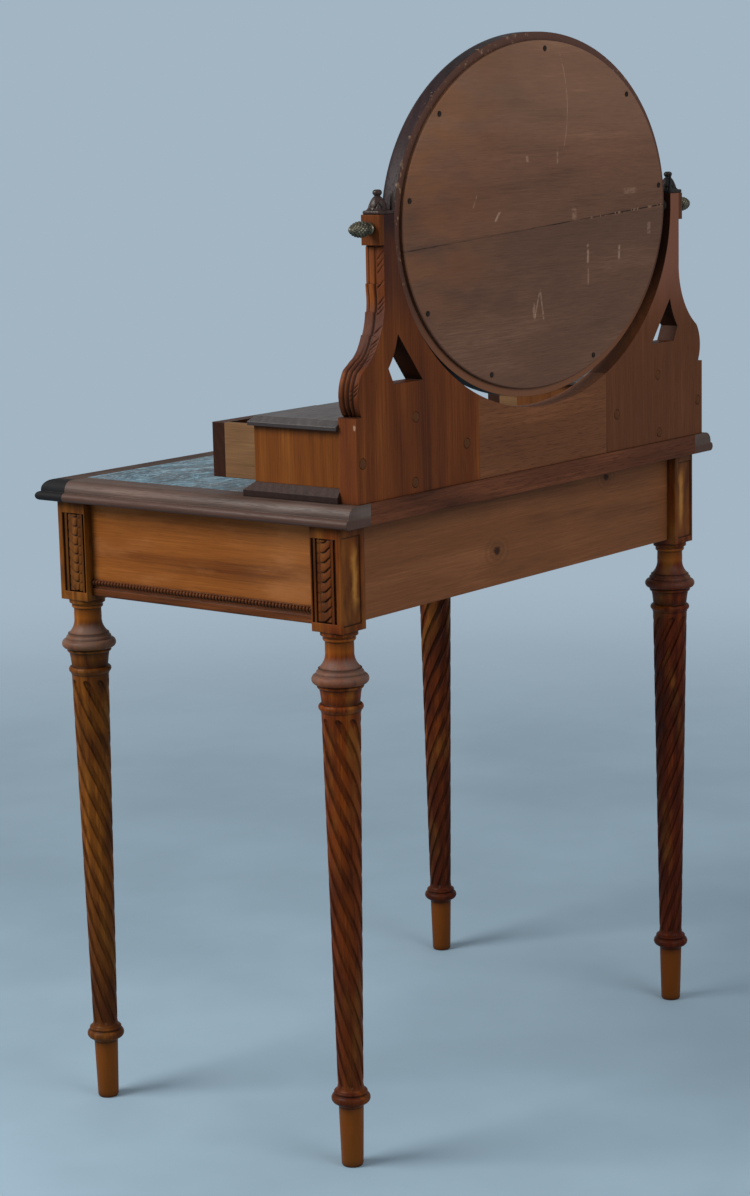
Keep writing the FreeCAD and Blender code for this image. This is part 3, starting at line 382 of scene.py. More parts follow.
def carved_leg(side, end):
    """The turned column with its flutes, and the stile with its panels and ribbon band."""
    shape = turned(column, 192)
    cuts = deepened(shape)
    for vert in shape.verts:
        x, y, z = vert.co
        radius = math.hypot(x, y)
        if radius < 1e-6:
            continue
        angle = math.atan2(y, x)
        # Painted shade along the turned grooves and in the flutes, darkest at their edges
        vert[cuts] = max(0.85 * peak(z, line, 0.0006) for line in TURNED_LINES)
        if FLUTE_LOW < z < FLUTE_HIGH:
            across = ((angle / (2 * math.pi) * FLUTES) % 1.0 - 0.5) / FLUTE_SHARE
            near_end = max(0.0, 1 - min(z - FLUTE_LOW, FLUTE_HIGH - z) / 0.0045)
            room = 1 - across ** 2 - near_end ** 2
            if room > 0:
                radius -= 0.14 * radius * min(1.0, 1.25 * math.sqrt(room))
                vert[cuts] = 0.1 + 0.8 * math.exp(-9 * room)
            else:
                vert[cuts] = 0.8 * math.exp(room * 6)
        twist = FLUTE_STARTS[side] - side * 2 * math.pi * FLUTE_TURNS * min(1, max(0, (z - SHAFT_LOW) / SHAFT_LENGTH))
        vert.co = (radius * math.cos(angle + twist), radius * math.sin(angle + twist), z)

    stile = bmesh.new()
    block(stile, (-STILE_HALF, -STILE_HALF, STILE_LOW), (STILE_HALF, STILE_HALF, STILE_HIGH))
    stile.faces.ensure_lookup_table()
    sunk_panel(stile, Vector((side, 0, 0)), sorted((-0.0195 * end, 0.0145 * end)), 0.62, 0.712, 0.003)
    sunk_panel(stile, Vector((0, end, 0)), sorted((-0.014 * side, 0.018 * side)), 0.617, 0.714, 0.0016)
    softened(stile, [e for e in stile.edges if e.calc_face_angle(0.0) > 0.5], 0.0006)

    band = bmesh.new()
    bmesh.ops.create_grid(band, x_segments=44, y_segments=260, size=0.5)
    band.normal_update()
    bmesh.ops.solidify(band, geom=band.faces, thickness=1.0)
    cuts = deepened(band)
    for vert in band.verts:
        u, up = vert.co.x * 2, vert.co.y
        z = BAND_MIDDLE + up * BAND_HEIGHT
        if u > -0.45:
            v = (u + 0.45) / 1.45
            rise = 0.0069 * eased_step(v, 0.25, 1.05) + 0.0008 * max(0.0, 1 - v / 0.2) ** 2
            place = (z - rise - SCALE_FOOT) / SCALE_PITCH % 1.0
            relief, dark = 1.0, 1.0 - 0.45 * eased_step(v, 0.5, 1.0)
        else:
            v = (u + 1.0) / 0.55
            place = (z + 0.0025 * v - SCALE_FOOT) / SCALE_PITCH % 1.0
            relief, dark = 0.4, 0.7 - 0.5 * eased_step(v, 0.4, 0.8)
        lip = (1 - place) ** 0.7 if place > 0.08 else (1 - 0.08) ** 0.7 * (place / 0.08) ** 0.6
        crown = (1 - abs(u) ** 5) ** 0.5 * (1 - 0.4 * peak(u, -0.45, 0.07))
        rim = min(1.0, (0.5 - abs(up)) / 0.01)
        lift = 0.0004 + 0.0022 * relief * lip
        # Painted shadow under each scale's lip, and painted shade over the whole band and at its sides
        shadow = max(peak(place, 0, 0.06), peak(place, 1, 0.17))
        vert[cuts] = max(0.28 + 0.2 * (1 - place), dark * shadow, abs(u) ** 10)
        if vert.co.z < -0.5:
            lift = -0.0015
        vert.co = (side * (0.0184 + crown * lift * rim), end * (u * BAND_HALF + BAND_SHIFT), z)
    # Two strips at the panel's borders beside the band, half darkened with painted shade
    near, far = sorted((side * 0.0176, side * 0.0203))
    for low, high in ((-0.0166, -0.0138), (0.0074, 0.0106)):
        low, high = sorted((end * low, end * high))
        for vert in block(band, (near, low, 0.6202), (far, high, 0.7118)):
            vert[cuts] = 0.5

    return joined(shape, stile, band)


def golden_stile(place):
    """The stile and the foot kept more of their gold; the collar under the stile is dusty."""
    across, depth, height = place.parts()
    patches = place.noise((50, 50, 12))
    yield place.noise((34, 34, 9)).ramped(0.5, 0.68, 0.0, 0.42), "8a5a20"
    yield place.noise((26, 26, 11)).ramped(0.48, 0.66, 0.0, 0.5), "2c0e05"
    yield height.ramped(0.12, 0.38, 0.4, 0.0), "300e06"
    wall = abs(depth).ramped(0.2058, 0.2066)
    gold = height.ramped(0.612, 0.628) * patches.ramped(0.3, 0.65, 0.2, 0.8)
    yield gold * wall.ramped(0.0, 1.0, 0.5, 1.0), "7d4a1a"
    smoky = place.noise((80, 80, 20)).ramped(0.46, 0.7, 0.0, 0.55)
    yield height.ramped(0.604, 0.612) * smoky, "34180a"
    off = abs(abs(across) - 0.3345) + place.noise((110, 110, 60)) * 0.011
    streak = off.ramped(0.005, 0.013, 0.75, 0.0) * abs(height - STILE_MIDDLE).ramped(0.02, 0.042, 1.0, 0.0)
    yield streak * wall, "b57c38"
    yield height.ramped(0.06, 0.078, 1.0, 0.0) * 0.6, "7c430e"
    yield height.ramped(0.58, 0.59) * height.ramped(0.6, 0.606, 0.4, 0.0), "a05a1a"
    collar = height.ramped(0.55, 0.56) * height.ramped(0.574, 0.584, 1.0, 0.0)
    collar = collar * across.ramped(-0.2, 0.2, 0.35, 1.0)
    yield collar * patches.ramped(0.3, 0.7, 0.45, 0.8), "6f5950"


SIDES = (("right", 1), ("left", -1))
# The front left leg's tones are darker than the other legs': painted shade
for end_name, end, wall, pairs in (
        ("back", 1, 0.0, (("96500f", "6a2e07", "300f05"), ("823a0f", "571f06", "260a04"))),
        ("front", -1, 0.31, (("985a1a", "6e3d0d", "361708"), ("75350a", "4d1d04", "220903")))):
    for (side_name, side), tones in zip(SIDES, pairs):
        leg = carved_leg(side, end)
        bmesh.ops.translate(leg, vec=(LEG_X * side, LEG_Y * end, 0), verts=leg.verts)
        leg_walnut = wood(f"leg walnut {end_name} {side_name}", "Z", (wall, 0.06 * side, 0.05 + wall), *tones,
                          rings=90, figure=0.25, pores=0.3, rough=0.42, shade_and_soil=0.85, rub=0.3, carved=0.92,
                          marks=golden_stile)
        finished(leg, f"leg_{end_name}_{side_name}_carved", leg_walnut, "walnut", "table",
                 f"leg_{end_name}_{side_name}")

# ---- Aprons ------------------------------------------------------------------------------------
# Three flat boards of walnut, tenoned between the stiles and set back behind their faces. The
# side boards kept their golden colour; the back board is duller and has two knots.

knot, (place, middle, size) = shared_effect("knot", Vector="Vector", Middle="Vector", Size=0.005)
away = (place.away_from(middle, (0.75, 0.0, 1.0)) + (place.noise((90, 90, 90), 2.0) - 0.5) * 0.006) / size
give(knot, Mask=away.ramped(0.5, 1.3, 1.0, 0.0),
     Rings=((away * 5.0).maths("SINE") * 0.5 + 0.5) * away.ramped(1.0, 5.0, 1.0, 0.0))


def apron_knots(place):
    """Two knots, each dark with a few rings round it."""
    for middle, size in (((0.056, 0.197, 0.656), 0.006), ((-0.176, 0.197, 0.713), 0.005)):
        spot = place.effect(knot, "Rings", Middle=middle, Size=size)
        yield spot * 0.3, "3a2013"
        yield spot.beside("Mask") * 0.85, "24130c"


def faded_end(place):
    """The side boards are paler towards the back and in a few cloudy patches."""
    patches = place.noise((14, 10, 30), 4.0).ramped(0.48, 0.7, 0.0, 0.25)
    yield patches.maths("ADD", place.parts()[1].ramped(0.02, 0.15, 0.0, 0.18), True), "ae764a"


dress(wood("back apron walnut", "X", (0.2, 0.05, -0.6), "98623f", "784b2e", "4e2b18", rings=60, figure=0.2,
           streaks=0.25, pores=0.25, marks=apron_knots), "apron_back")
for side_name, shift in (("right", (0.7, 0.11, -0.55)), ("left", (0.1, 0.3, -0.58))):
    dress(wood(f"{side_name} apron walnut", "Y", shift, "9e5f28", "80491c", "582d10", rings=45, figure=0.35,
               streaks=0.45, pores=0.3, rough=0.45, marks=faded_end), f"apron_{side_name}")

# ---- Beaded mouldings --------------------------------------------------------------------------
# A narrow walnut moulding glued along the foot of each side apron: a flat fillet, a groove darkened
# by painted shade and dirt, and above it a row of small turned beads.
BEADS, BEAD_SIZE, BEAD_X, BEAD_Z = 69, (3.4, 2.5, 3.2), 0.35, 0.6315
MOULDING_BACK, MOULDING_HALF = 0.347, 0.1665
bead_walnut = wood("bead walnut", "Y", (0.4, 0.02, -0.4), "7d4824", "592f14", "331a0c", worn="8e6a50", rough=0.42,
                   shade_and_soil=1.0, rub=0.5)
for side_name, side in SIDES:
    strip = bmesh.new()
    block(strip, (MOULDING_BACK, -MOULDING_HALF, 0.616), (0.3515, MOULDING_HALF, 0.625))
    softened(strip, [e for e in strip.edges if abs(e.verts[0].co.y - e.verts[1].co.y) > 0.1
                     and e.verts[0].co.x > 0.35], 0.0008)
    block(strip, (MOULDING_BACK, -MOULDING_HALF, 0.6248), (0.3497, MOULDING_HALF, 0.635))
    for i in range(BEADS):
        y = -MOULDING_HALF + 2 * MOULDING_HALF * (i + 0.5) / BEADS
        bead = bmesh.ops.create_uvsphere(strip, u_segments=8, v_segments=6, radius=0.001)["verts"]
        bmesh.ops.scale(strip, vec=BEAD_SIZE, verts=bead)
        bmesh.ops.translate(strip, vec=(BEAD_X, y, BEAD_Z), verts=bead)
    finished(sided(strip, side), f"bead_moulding_{side_name}_beads", bead_walnut, "walnut", "table",
             f"bead_moulding_{side_name}", angle=50)

# ---- Drawer rail and runners -------------------------------------------------------------------
# A walnut rail under the wide drawer, and the pine runners and guides that carry it.
dress(wood("front rail walnut", "X", (0.5, 0.03, -0.52), "8f5a2c", "6f4220", "472811", rough=0.45),
      "front_rail_lower")
dress(wood("guide pine", "Y", (0.3, 0.2, -0.5), "b08d62", "957148", "6f5132", rings=160, pores=0.1, rough=0.65,
           shine=0.15), "drawer_guides")

# ---- Moulded frame of the top ------------------------------------------------------------------
# Four walnut rails, moulded on the three outer sides, round the marble. Handling and damp have
# greyed the moulded rails. The front rail runs through; its right end has gone almost black.


def greyed(place):
    """Dirt in patches, bleached streaks, and a browner edge along the foot of the moulding."""
    yield place.noise((25, 25, 60), 4.0).ramped(0.4, 0.7, 0.0, 0.5), "4a3831"
    yield place.noise((7, 7, 40), 4.0).ramped(0.5, 0.75, 0.0, 0.3), "7d6f69"
    yield place.parts()[2].ramped(0.7335, 0.7385, 0.62, 0.0), "45271b"


def dark_ended(place):
    """The front rail's right end has soaked up polish."""
    yield from greyed(place)
    reach = place.parts()[0] + place.noise((90, 90, 90)) * 0.012
    yield reach.ramped(0.35, 0.364, 0.0, 0.95), "17191c"


for side_name, shift in (("right", (0.2, 0.03, -0.74)), ("left", (0.6, 0.06, -0.7))):
    dress(wood(f"{side_name} rail walnut", "Y", shift, "6c564c", "4f3d35", "32241e", worn="85756c", end="564840",
               rings=150, figure=0.25, streaks=0.5, shine=0.25, marks=greyed), f"top_rail_{side_name}")
dress(wood("front rail moulding walnut", "X", (0.1, 0.2, -0.71), "5a463d", "40312b", "29201c", worn="746660",
           end="2c2d2e", rings=150, figure=0.25, streaks=0.5, rough=0.55, marks=dark_ended), "top_rail_front")
dress(wood("back rail walnut", "X", (0.9, 0.1, -0.68), "7e4a2e", "5c3320", "361c10", rings=80, rub=0.35),
      "top_rail_back")

# ---- Marble ------------------------------------------------------------------------------------
# A slab of blue-grey marble with pale and dark veins, polished and let in flush with the frame.
# A pine bed under it keeps it level.
marble, place = bare_material("blue grey marble")
place = add(place.tree, "ShaderNodeMapping", {"Vector": place, "Rotation": (0, 0, 0.45)})
bent = add(place.tree, "ShaderNodeTexNoise", {"Vector": place, "Scale": 9.0, "Detail": 4.0}, 1)
place = place.vector_maths("ADD", bent.vector_maths("MULTIPLY", (0.09, 0.09, 0.09)))
clouds = place.noise((14, 26, 26), 6.0, 0.65)
colour = over(clouds.ramped(0.3, 0.7), "1d4151", "477387")
for scale, width, strength, vein in (((8, 22, 22), 0.035, 0.7, "88b4c6"), ((18, 46, 46), 0.03, 0.6, "7aa6b8"),
                                     ((11, 30, 30), 0.04, 0.9, "122a35"), ((22, 60, 60), 0.035, 0.75, "18323e"),
                                     ((30, 80, 80), 0.03, 0.3, "bfd4db")):
    colour = over(abs(place.noise(scale) - 0.5).ramped(0.0, width, strength, 0.0), colour, vein)
surface(add(place.tree, "ShaderNodeBsdfPrincipled",
            {"Base Color": colour, "Roughness": clouds.ramped(0.3, 0.7, 0.25, 0.4), "Specular IOR Level": 0.25}))
dress(marble, "marble_slab")
dress(wood("bed pine", "X", (0.3, 0.1, -0.5), "a98c66", "8f7250", "6b5136", rings=140, pores=0.1, rough=0.7),
      "marble_bed")

# ---- Mirror board ------------------------------------------------------------------------------
# Two wide walnut planks with upright grain, sawn to shape, and a narrower plank between them. The
# planks end in the uprights. Round pegs, cut off almost flush, hold the joints.


def board_shade_and_stains(place):
    """Painted shade on the faces inside the cut-outs and low on the volutes, stains on the uprights, and a spot of pale
    glue.
    """
    across, _, height = place.parts()
    sideways, backwards, upwards = place.beside("Normal").parts()
    outer = (across * sideways).maths("MULTIPLY", 1000.0, True)
    outer = outer * height.ramped(0.925, 0.932).maths("MAXIMUM", abs(across).ramped(0.3, 0.306))
    # Painted shade on the faces inside the cut-outs, except those facing up
    inside = abs(backwards).ramped(0.4, 0.7, 1.0, 0.0) * abs(across).ramped(0.33, 0.338, 1.0, 0.0)
    inside = inside * upwards.ramped(0.3, 0.8, 1.0, 0.0)
    yield (inside - inside * outer) * 0.9, "1c0d07"
    level = height + place.noise((70, 70, 30)) * 0.03
    purple = level.ramped(0.93, 1.01, 0.0, 0.6) + level.ramped(1.035, 1.06, 0.0, 0.32)
    behind = backwards.ramped(0.6, 0.9)
    yield purple * behind * across.ramped(-0.1, 0.1), "2a1a1b"
    mauve = level.ramped(0.9, 0.99, 0.0, 0.6) * across.ramped(-0.1, 0.1, 1.0, 0.0)
    yield mauve * behind, "8a5a4a"
    yield outer * level.ramped(0.89, 0.925) * level.ramped(0.955, 0.985, 0.55, 0.0), "42302e"
    # Painted shade low on the outer edge, where the volute curves under
    yield outer * height.ramped(0.8405, 0.842) * level.ramped(0.86, 0.89, 0.6, 0.0), "1f0d06"
    glue = place.away_from((0.3515, 0.225, 0.832), (1.0, 1.6, 0.8)) + place.noise((500, 500, 500)) * 0.004
    yield glue.ramped(0.0032, 0.0052, 0.6, 0.0), "b59a80"


plank_right = wood("right plank walnut", "Z", (0.1, 0.02, 0.1), "85491f", "613013", "3a1a0b", rings=55, figure=0.25,
                   streaks=0.4, pores=0.3, rub=0.35, carved=0.9, marks=board_shade_and_stains)
plank_left = wood("left plank walnut", "Z", (0.5, 0.05, 0.16), "7d4a2e", "5f371f", "3d2113", rings=60, figure=0.12,
                  streaks=0.3, pores=0.3, rub=0.35, carved=0.9, marks=board_shade_and_stains)
dress(plank_right, "back_board_right")
dress(plank_left, "back_board_left")
dress(wood("centre plank walnut", "X", (0.6, 0.3, -0.78), "875538", "6c4229", "482818", rings=45, figure=0.25,
           streaks=0.4), "back_board_centre")
peg_walnut = wood("peg walnut", "Y", (0.2, -0.3, -0.8), "925f34", "724624", "482814", rings=400, figure=0.4,
                  streaks=0.2, rough=0.55, rub=0.0)
PEG_PLACES, PEG_RADIUS, PEG_LENGTH = ((0.3415, 0.793), (0.247, 0.833), (0.25, 0.762), (0.154, 0.794)), 0.0056, 0.0085
peg_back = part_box("board_pegs")[1].y
pegs = bmesh.new()
for x, z in PEG_PLACES:
    for side in (1, -1):
        made = bmesh.ops.create_cone(pegs, cap_ends=True, segments=24, radius1=PEG_RADIUS, radius2=PEG_RADIUS,
                                     depth=PEG_LENGTH)["verts"]
        bmesh.ops.rotate(pegs, cent=(0, 0, 0), matrix=Matrix.Rotation(-math.pi / 2, 3, "X"), verts=made)
        bmesh.ops.translate(pegs, vec=(x * side, peg_back - 0.0038, z), verts=made)
softened(pegs, [e for e in pegs.edges if all(v.co.y > peg_back for v in e.verts)], 0.0008)
finished(pegs, "board_pegs_domed", peg_walnut, "walnut", "table", "board_pegs")

# ---- Reeded edges of the uprights --------------------------------------------------------------
# The outer edge of each upright is carved: reeds fan out over the volute at its foot, a groove
# runs up the middle, short slanting cuts fill the back half, and leaf tips stand on the front one.
reed_path = [(0.342, 0.8425)] + bulged((0.342, 0.8425), (0.3386, 0.888), 0.0066, 90)
reed_path += bulged((0.3386, 0.888), (0.2965, 0.97), -0.0125, 150)
reed_path += [(0.2965, 0.97 + 0.0005 * i) for i in range(1, 101)]
FRONT_CROWN = ((0.84, 0.0002), (0.846, 0.001), (0.855, 0.0028), (0.868, 0.0038), (0.88, 0.0041), (0.889, 0.0046),
               (0.895, 0.0042), (0.902, 0.0018), (0.908, 0.001), (0.945, 0.0012), (0.965, 0.0006), (1.03, 0.0003))
LEAF_TIPS = (0.904, 0.924, 0.949, 0.979)
CHIPS = (1.009, 1.0015, 0.9945, 0.9786, 0.961, 0.9555, 0.95, 0.9307, 0.918, 0.913, 0.908, 0.903, 0.898,
         0.8726, 0.8683, 0.864)
REED_BACK, REED_WIDTH = 0.2037, 0.0236


def along(table, place):
    """The value at a place between the rows of a table."""
    for (start, first), (stop, last) in zip(table, table[1:]):
        if place <= stop:
            return first + (last - first) * eased_step(place, start, stop)
    return table[-1][1]


for (side_name, side), walnut in zip(SIDES, (plank_right, plank_left)):
    reeds = bmesh.new()
    rows, columns = len(reed_path) - 1, 48
    bmesh.ops.create_grid(reeds, x_segments=columns, y_segments=rows, size=0.5)
    reeds.normal_update()
    bmesh.ops.solidify(reeds, geom=reeds.faces, thickness=1.0)
    cuts = deepened(reeds)
    for vert in reeds.verts:
        v, row = vert.co.x + 0.5, round((vert.co.y + 0.5) * rows)
        x, z = reed_path[row]
        before, after = reed_path[max(0, row - 1)], reed_path[min(rows, row + 1)]
        run = Vector((after[0] - before[0], 0, after[1] - before[1])).normalized()
        outwards = Vector((run.z, 0, -run.x))
        height = along(FRONT_CROWN, z)
        for low, high in zip(LEAF_TIPS, LEAF_TIPS[1:]):
            if low < z <= high:
                height += 0.0026 * ((z - low) / (high - low)) ** 1.4
        height *= (1 - v ** 1.6) * (1 - 0.35 * max(0.0, 1 - v / 0.1) ** 2)
        fan = 1 - eased_step(z, 0.89, 0.935)
        edge_line = eased_step(z, 0.935, 0.96)
        cut = 0.0
        for middle, wide, strength in ((0.3 + 0.14 * (1 - fan), 0.05, fan), (0.53, 0.055, 1.0),
                                       (0.74 - 0.12 * (1 - fan), 0.05, fan), (0.17, 0.025, 0.6 * edge_line)):
            cut = max(cut, strength * peak(v, middle, wide))
        ridge = 0.0006 * fan * (peak(v, 0.41, 0.04) + peak(v, 0.64, 0.04))
        for level in CHIPS:
            if 0.6 < v < 0.98:
                off = (z - level - 0.0048 * (v - 0.79) / 0.19) / 0.001
                cut = max(cut, math.exp(-off * off) * math.sin((v - 0.6) / 0.38 * math.pi) ** 0.4)
        height += 0.0004 + ridge + 0.0009 * (1 - v) - 0.0013 * cut
        end_fade = min(1.0, (z - 0.8424) / 0.003 + 0.3, (1.0201 - z) / 0.002)
        height = (height + 0.0004) * end_fade - 0.0004
        if vert.co.z < -0.5:
            cut, height = 0.0, -0.0055
        # Painted shade in the grooves and the slanting cuts
        vert[cuts] = cut
        vert.co = Vector((x, REED_BACK + REED_WIDTH * v, z)) + outwards * height
    finished(sided(reeds, side), f"reeded_edge_{side_name}", walnut, "walnut", "table", angle=60)

# ---- Pivot plates and finials ------------------------------------------------------------------
# A small walnut plate thickens each upright where the mirror's pin passes. On top stands a turned
# and carved finial, almost black with old polish: four leaves, a neck and a small ball.
dress(wood("plate walnut right", "Z", (0.3, 0.04, 0.07), "7f451b", "5e3010", "381b0a", rough=0.48), "pivot_block_right")
dress(wood("plate walnut left", "Z", (0.7, 0.04, 0.02), "7d5038", "5f3b28", "3c2317", rough=0.48), "pivot_block_left")
finial_tones = {1: ("4d3833", "352622", "17100e", "7a6256"), -1: ("2b2626", "1b1717", "0c0a0a", "4d4848")}
spindle = [(0.0, 1.0558), (0.0108, 1.0558)] + bulged((0.0108, 1.0558), (0.0088, 1.059), -0.0003, 8)
spindle += bulged((0.0088, 1.059), (0.0042, 1.0704), 0.0014, 30)
spindle += bulged((0.0042, 1.0704), (0.0032, 1.0714), -0.0002, 3)
spindle += bulged((0.0034, 1.0718), (0.0006, 1.0776), 0.0031, 12) + [(0.0, 1.0776)]
LEAF_FOOT, LEAF_HEIGHT = 1.056, 0.0148
FINIAL_PLACE, PRONG_X, PRONG_Y = (0.291, 0.2155, 0), 0.2792, 0.2253
prong = [(0.0, 1.055), (0.0032, 1.055), (0.0026, 1.059), (0.0021, 1.068), (0.0019, 1.0735), (0.0013, 1.0755),
         (0.0, 1.076)]
for side_name, side in SIDES:
    finial = turned(spindle, 96)
    cuts = deepened(finial)
    for vert in finial.verts:
        x, y, z = vert.co
        height = (z - LEAF_FOOT) / LEAF_HEIGHT
        if 0 <= height <= 1 and math.hypot(x, y) > 1e-5:
            corner = abs(math.sin(2 * math.atan2(y, x)))
            face = abs(math.cos(2 * math.atan2(y, x)))
            line = 0.6 * (1 - face ** 1.2)
            above = eased_step(height, line, line + 0.15)
            vein = 0.8 * peak(face, 0, 0.14) * above * (1 - height)
            groove = max(peak(height, line, 0.075) * (1 - face ** 8), vein)
            grow = 1 + 0.26 * corner ** 2 * (1 - height) ** 2.4 - 0.08 * (1 - face) ** 1.5 * above - 0.17 * groove
            vert.co.x, vert.co.y = x * grow, y * grow
            # Painted shade in the grooves round the leaves and along their veins
            vert[cuts] = groove
        elif z > 1.0704:
            # Painted shade in the groove under the ball
            vert[cuts] = max(0.0, 1 - abs(z - 1.0716) / 0.0008)
    bmesh.ops.translate(finial, vec=FINIAL_PLACE, verts=finial.verts)
    flange = bmesh.new()
    block(flange, (0.2775, 0.2048, 1.052), (0.304, 0.2276, 1.0562))
    softened(flange, flange.edges[:], 0.0014, 3)
    tip = turned(prong, 12)
    for vert in tip.verts:
        lean = max(0.0, (vert.co.z - 1.06) / 0.015)
        vert.co.x = vert.co.x * 0.7 + PRONG_X - 0.0004 * lean ** 2
        vert.co.y += PRONG_Y + 0.0006 * lean ** 2
    finial = sided(joined(finial, flange, tip), side)
    *tones, rubbed_tone = finial_tones[side]
    finial_walnut = wood(f"finial walnut {side_name}", "Z", (0.4, 0.02, 0.01), *tones, worn=rubbed_tone, rough=0.4,
                         shine=0.25, shade_and_soil=0.95, rub=0.45, carved=0.97)
    finished(finial, f"finial_{side_name}_carved", finial_walnut, "walnut_dark", "table", f"finial_{side_name}")

# ---- Pivot knobs -------------------------------------------------------------------------------
# Cast bronze knobs shaped like pine cones screw on the pins outside the uprights. The metal has
# gone dull, with dark patina between the scales.


def metal(name, colour, tarnish, rough, amount, relief=0.0002, carved=0.0):
    """Cast or turned metal, dark with tarnish in its hollows and in clouds."""
    material, place = bare_material(name)
    clouds = place.noise((110, 110, 110), 4.0).ramped(0.4, 0.7)
    stain = place.effect(shade_and_grime, "Mask", Reach=0.004).maths("ADD", clouds * amount, True)
    tint = over(stain, colour, tarnish)
    # Darker in the cuts the vertex layer marks: painted shade, on the knobs together with patina
    if carved:
        cuts = add(place.tree, "ShaderNodeAttribute", {}, "Fac", attribute_name="hollow")
        tint = over(cuts * carved, tint, "0c0b0a")
    bump = add(place.tree, "ShaderNodeBump", {"Height": place.noise((900, 900, 900), 2.0), "Strength": 0.3,
                                              "Distance": relief})
    surface(add(place.tree, "ShaderNodeBsdfPrincipled",
                {"Base Color": tint, "Roughness": clouds * 0.25 + rough, "Metallic": 0.85, "Normal": bump}))
    return material


bronze = metal("dull bronze", "767261", "171614", 0.36, 0.85, carved=1.0)
cone = [(0.0, 0.0), (0.0062, 0.0), (0.0066, 0.0008), (0.0066, 0.003), (0.0056, 0.0038)]
cone += bulged((0.006, 0.0042), (0.002, 0.0346), 0.0042, 66) + [(0.0, 0.035)]
knob_low, knob_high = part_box("pivot_knob_right")
for side_name, side in SIDES:
    knob = turned(cone, 96)
    cuts = deepened(knob)
    for vert in knob.verts:
        x, y, z = vert.co
        radius = math.hypot(x, y)
        if z > 0.0041 and radius > 1e-5:
            angle = 5.5 * math.atan2(y, x)
            rise = z / 0.0052 * math.pi
            scale = abs(math.cos(angle + rise)) * abs(math.cos(angle - rise))
            grow = 1 + (scale ** 0.5 - 0.6) * 0.15 * min(1, (0.0352 - z) / 0.004)
            vert.co.x, vert.co.y = x * grow, y * grow
            # Painted shade with dark patina in the gaps between the scales
            vert[cuts] = max(0.0, 1 - scale / 0.22)
    bmesh.ops.rotate(knob, cent=(0, 0, 0), matrix=Matrix.Rotation(math.pi / 2, 3, "Y"), verts=knob.verts)
    bmesh.ops.translate(knob, vec=(knob_low.x, (knob_low.y + knob_high.y) / 2, (knob_low.z + knob_high.z) / 2),
                        verts=knob.verts)
    finished(sided(knob, side), f"pivot_knob_{side_name}_cone", bronze, "bronze", f"{side_name}_pivot_knob",
             f"pivot_knob_{side_name}", angle=60)
dress(metal("pin iron", "4a4642", "1c1917", 0.5, 0.7), "pivot_pins")

# ---- Small drawer cases ------------------------------------------------------------------------
# Each case is a walnut floor and top with bevelled edges and two upright sides, open to the front
# and back. The outer side is golden with its grain upright; the floor has greyed; the top's grey is painted sheen.


def case_stain(place):
    """The sides are darker in a wavy band under the top."""
    wavy = place.parts()[2] + place.noise((60, 60, 8)) * 0.012
    yield wavy.ramped(0.822, 0.836, 0.0, 0.5), "2a170c"


def shaded_bevels(place):
    """Painted shade: the bevels and edges of the top, facing less upwards, are darker than its face."""
    yield place.beside("Normal").parts()[2].ramped(0.6, 0.95, 0.7, 0.0), "241a1a"


dress(wood("case side walnut", "Z", (0.2, 0.09, 0.12), "8a521e", "683812", "3e2009", rings=70, figure=0.2,
           streaks=0.35, pores=0.3, rough=0.45, marks=case_stain), "case_right_outer_side", "case_left_outer_side")
dress(wood("case inner side walnut", "Z", (0.7, 0.02, 0.22), "84522a", "63391a", "3e200e", rings=70, figure=0.2,
           streaks=0.35, pores=0.3, marks=case_stain), "case_right_inner_side", "case_left_inner_side")
# The top's grey tones are a painted sheen of the pale surroundings, and its bevels get painted shade
dress(wood("case top walnut", "X", (0.3, 0.14, -0.76), "5d5755", "474343", "2f2b2c", worn="80766f", rings=80,
           figure=0.25, streaks=0.5, rough=0.38, shine=0.4, rub=0.25, marks=shaded_bevels), "case_right_top",
      "case_left_top")
dress(wood("case floor walnut", "X", (0.8, 0.12, -0.7), "4b3833", "382722", "231713", worn="6a5850", rings=90,
           figure=0.25, streaks=0.5, shine=0.12), "case_right_base", "case_left_base")

# ---- Small drawers -----------------------------------------------------------------------------
# Dark walnut fronts, sides and backs of pale pine that has gone grey-brown, thin pine bottoms and
# one small turned brass knob each.
dress(wood("small front walnut", "X", (0.5, 0.12, -0.77), "5e3620", "3f2316", "26130c", rough=0.45),
      "small_drawer_right_front", "small_drawer_left_front")
dress(wood("drawer side pine", "Y", (0.4, -0.2, -0.79), "866543", "705134", "523924", rings=200, figure=0.25,
           streaks=0.5, pores=0.15, rough=0.6, shine=0.15), "small_drawer_right_outer_side",
      "small_drawer_left_outer_side", "small_drawer_right_inner_side", "small_drawer_left_inner_side")
dress(wood("drawer bottom pine", "X", (0.4, -0.1, -0.6), "a58862", "8a6c49", "664c31", rings=160, pores=0.1,
           rough=0.7, shine=0.15), "small_drawer_right_back", "small_drawer_left_back", "small_drawer_right_bottom",
      "small_drawer_left_bottom", "main_drawer_back", "main_drawer_bottom")
brass = metal("aged brass", "a98a4c", "4a3a22", 0.3, 0.5, 0.0001)
dress(brass, "small_drawer_right_knob", "small_drawer_left_knob")

# ---- Wide drawer -------------------------------------------------------------------------------
# A walnut front shut flush with the aprons, pine sides, and two turned brass pulls.
dress(wood("wide front walnut", "X", (0.1, 0.16, -0.66), "9f6230", "7e4a23", "552f14", rings=40, figure=0.4,
           streaks=0.5, rough=0.42, shine=0.35), "main_drawer_front")
dress(wood("wide side pine", "Y", (0.2, 0.2, -0.6), "b59470", "98774f", "725636", rings=160, pores=0.1, rough=0.65,
           shine=0.15), "main_drawer_side_left", "main_drawer_side_right")
dress(brass, "main_drawer_pulls")

# ---- Mirror ------------------------------------------------------------------------------------
# An oval walnut frame, rounded at both edges. The glass lies in its rebate, held by small blocks,
# and two thin boards close the back, screwed down round the rim. Years of handling left scratches.

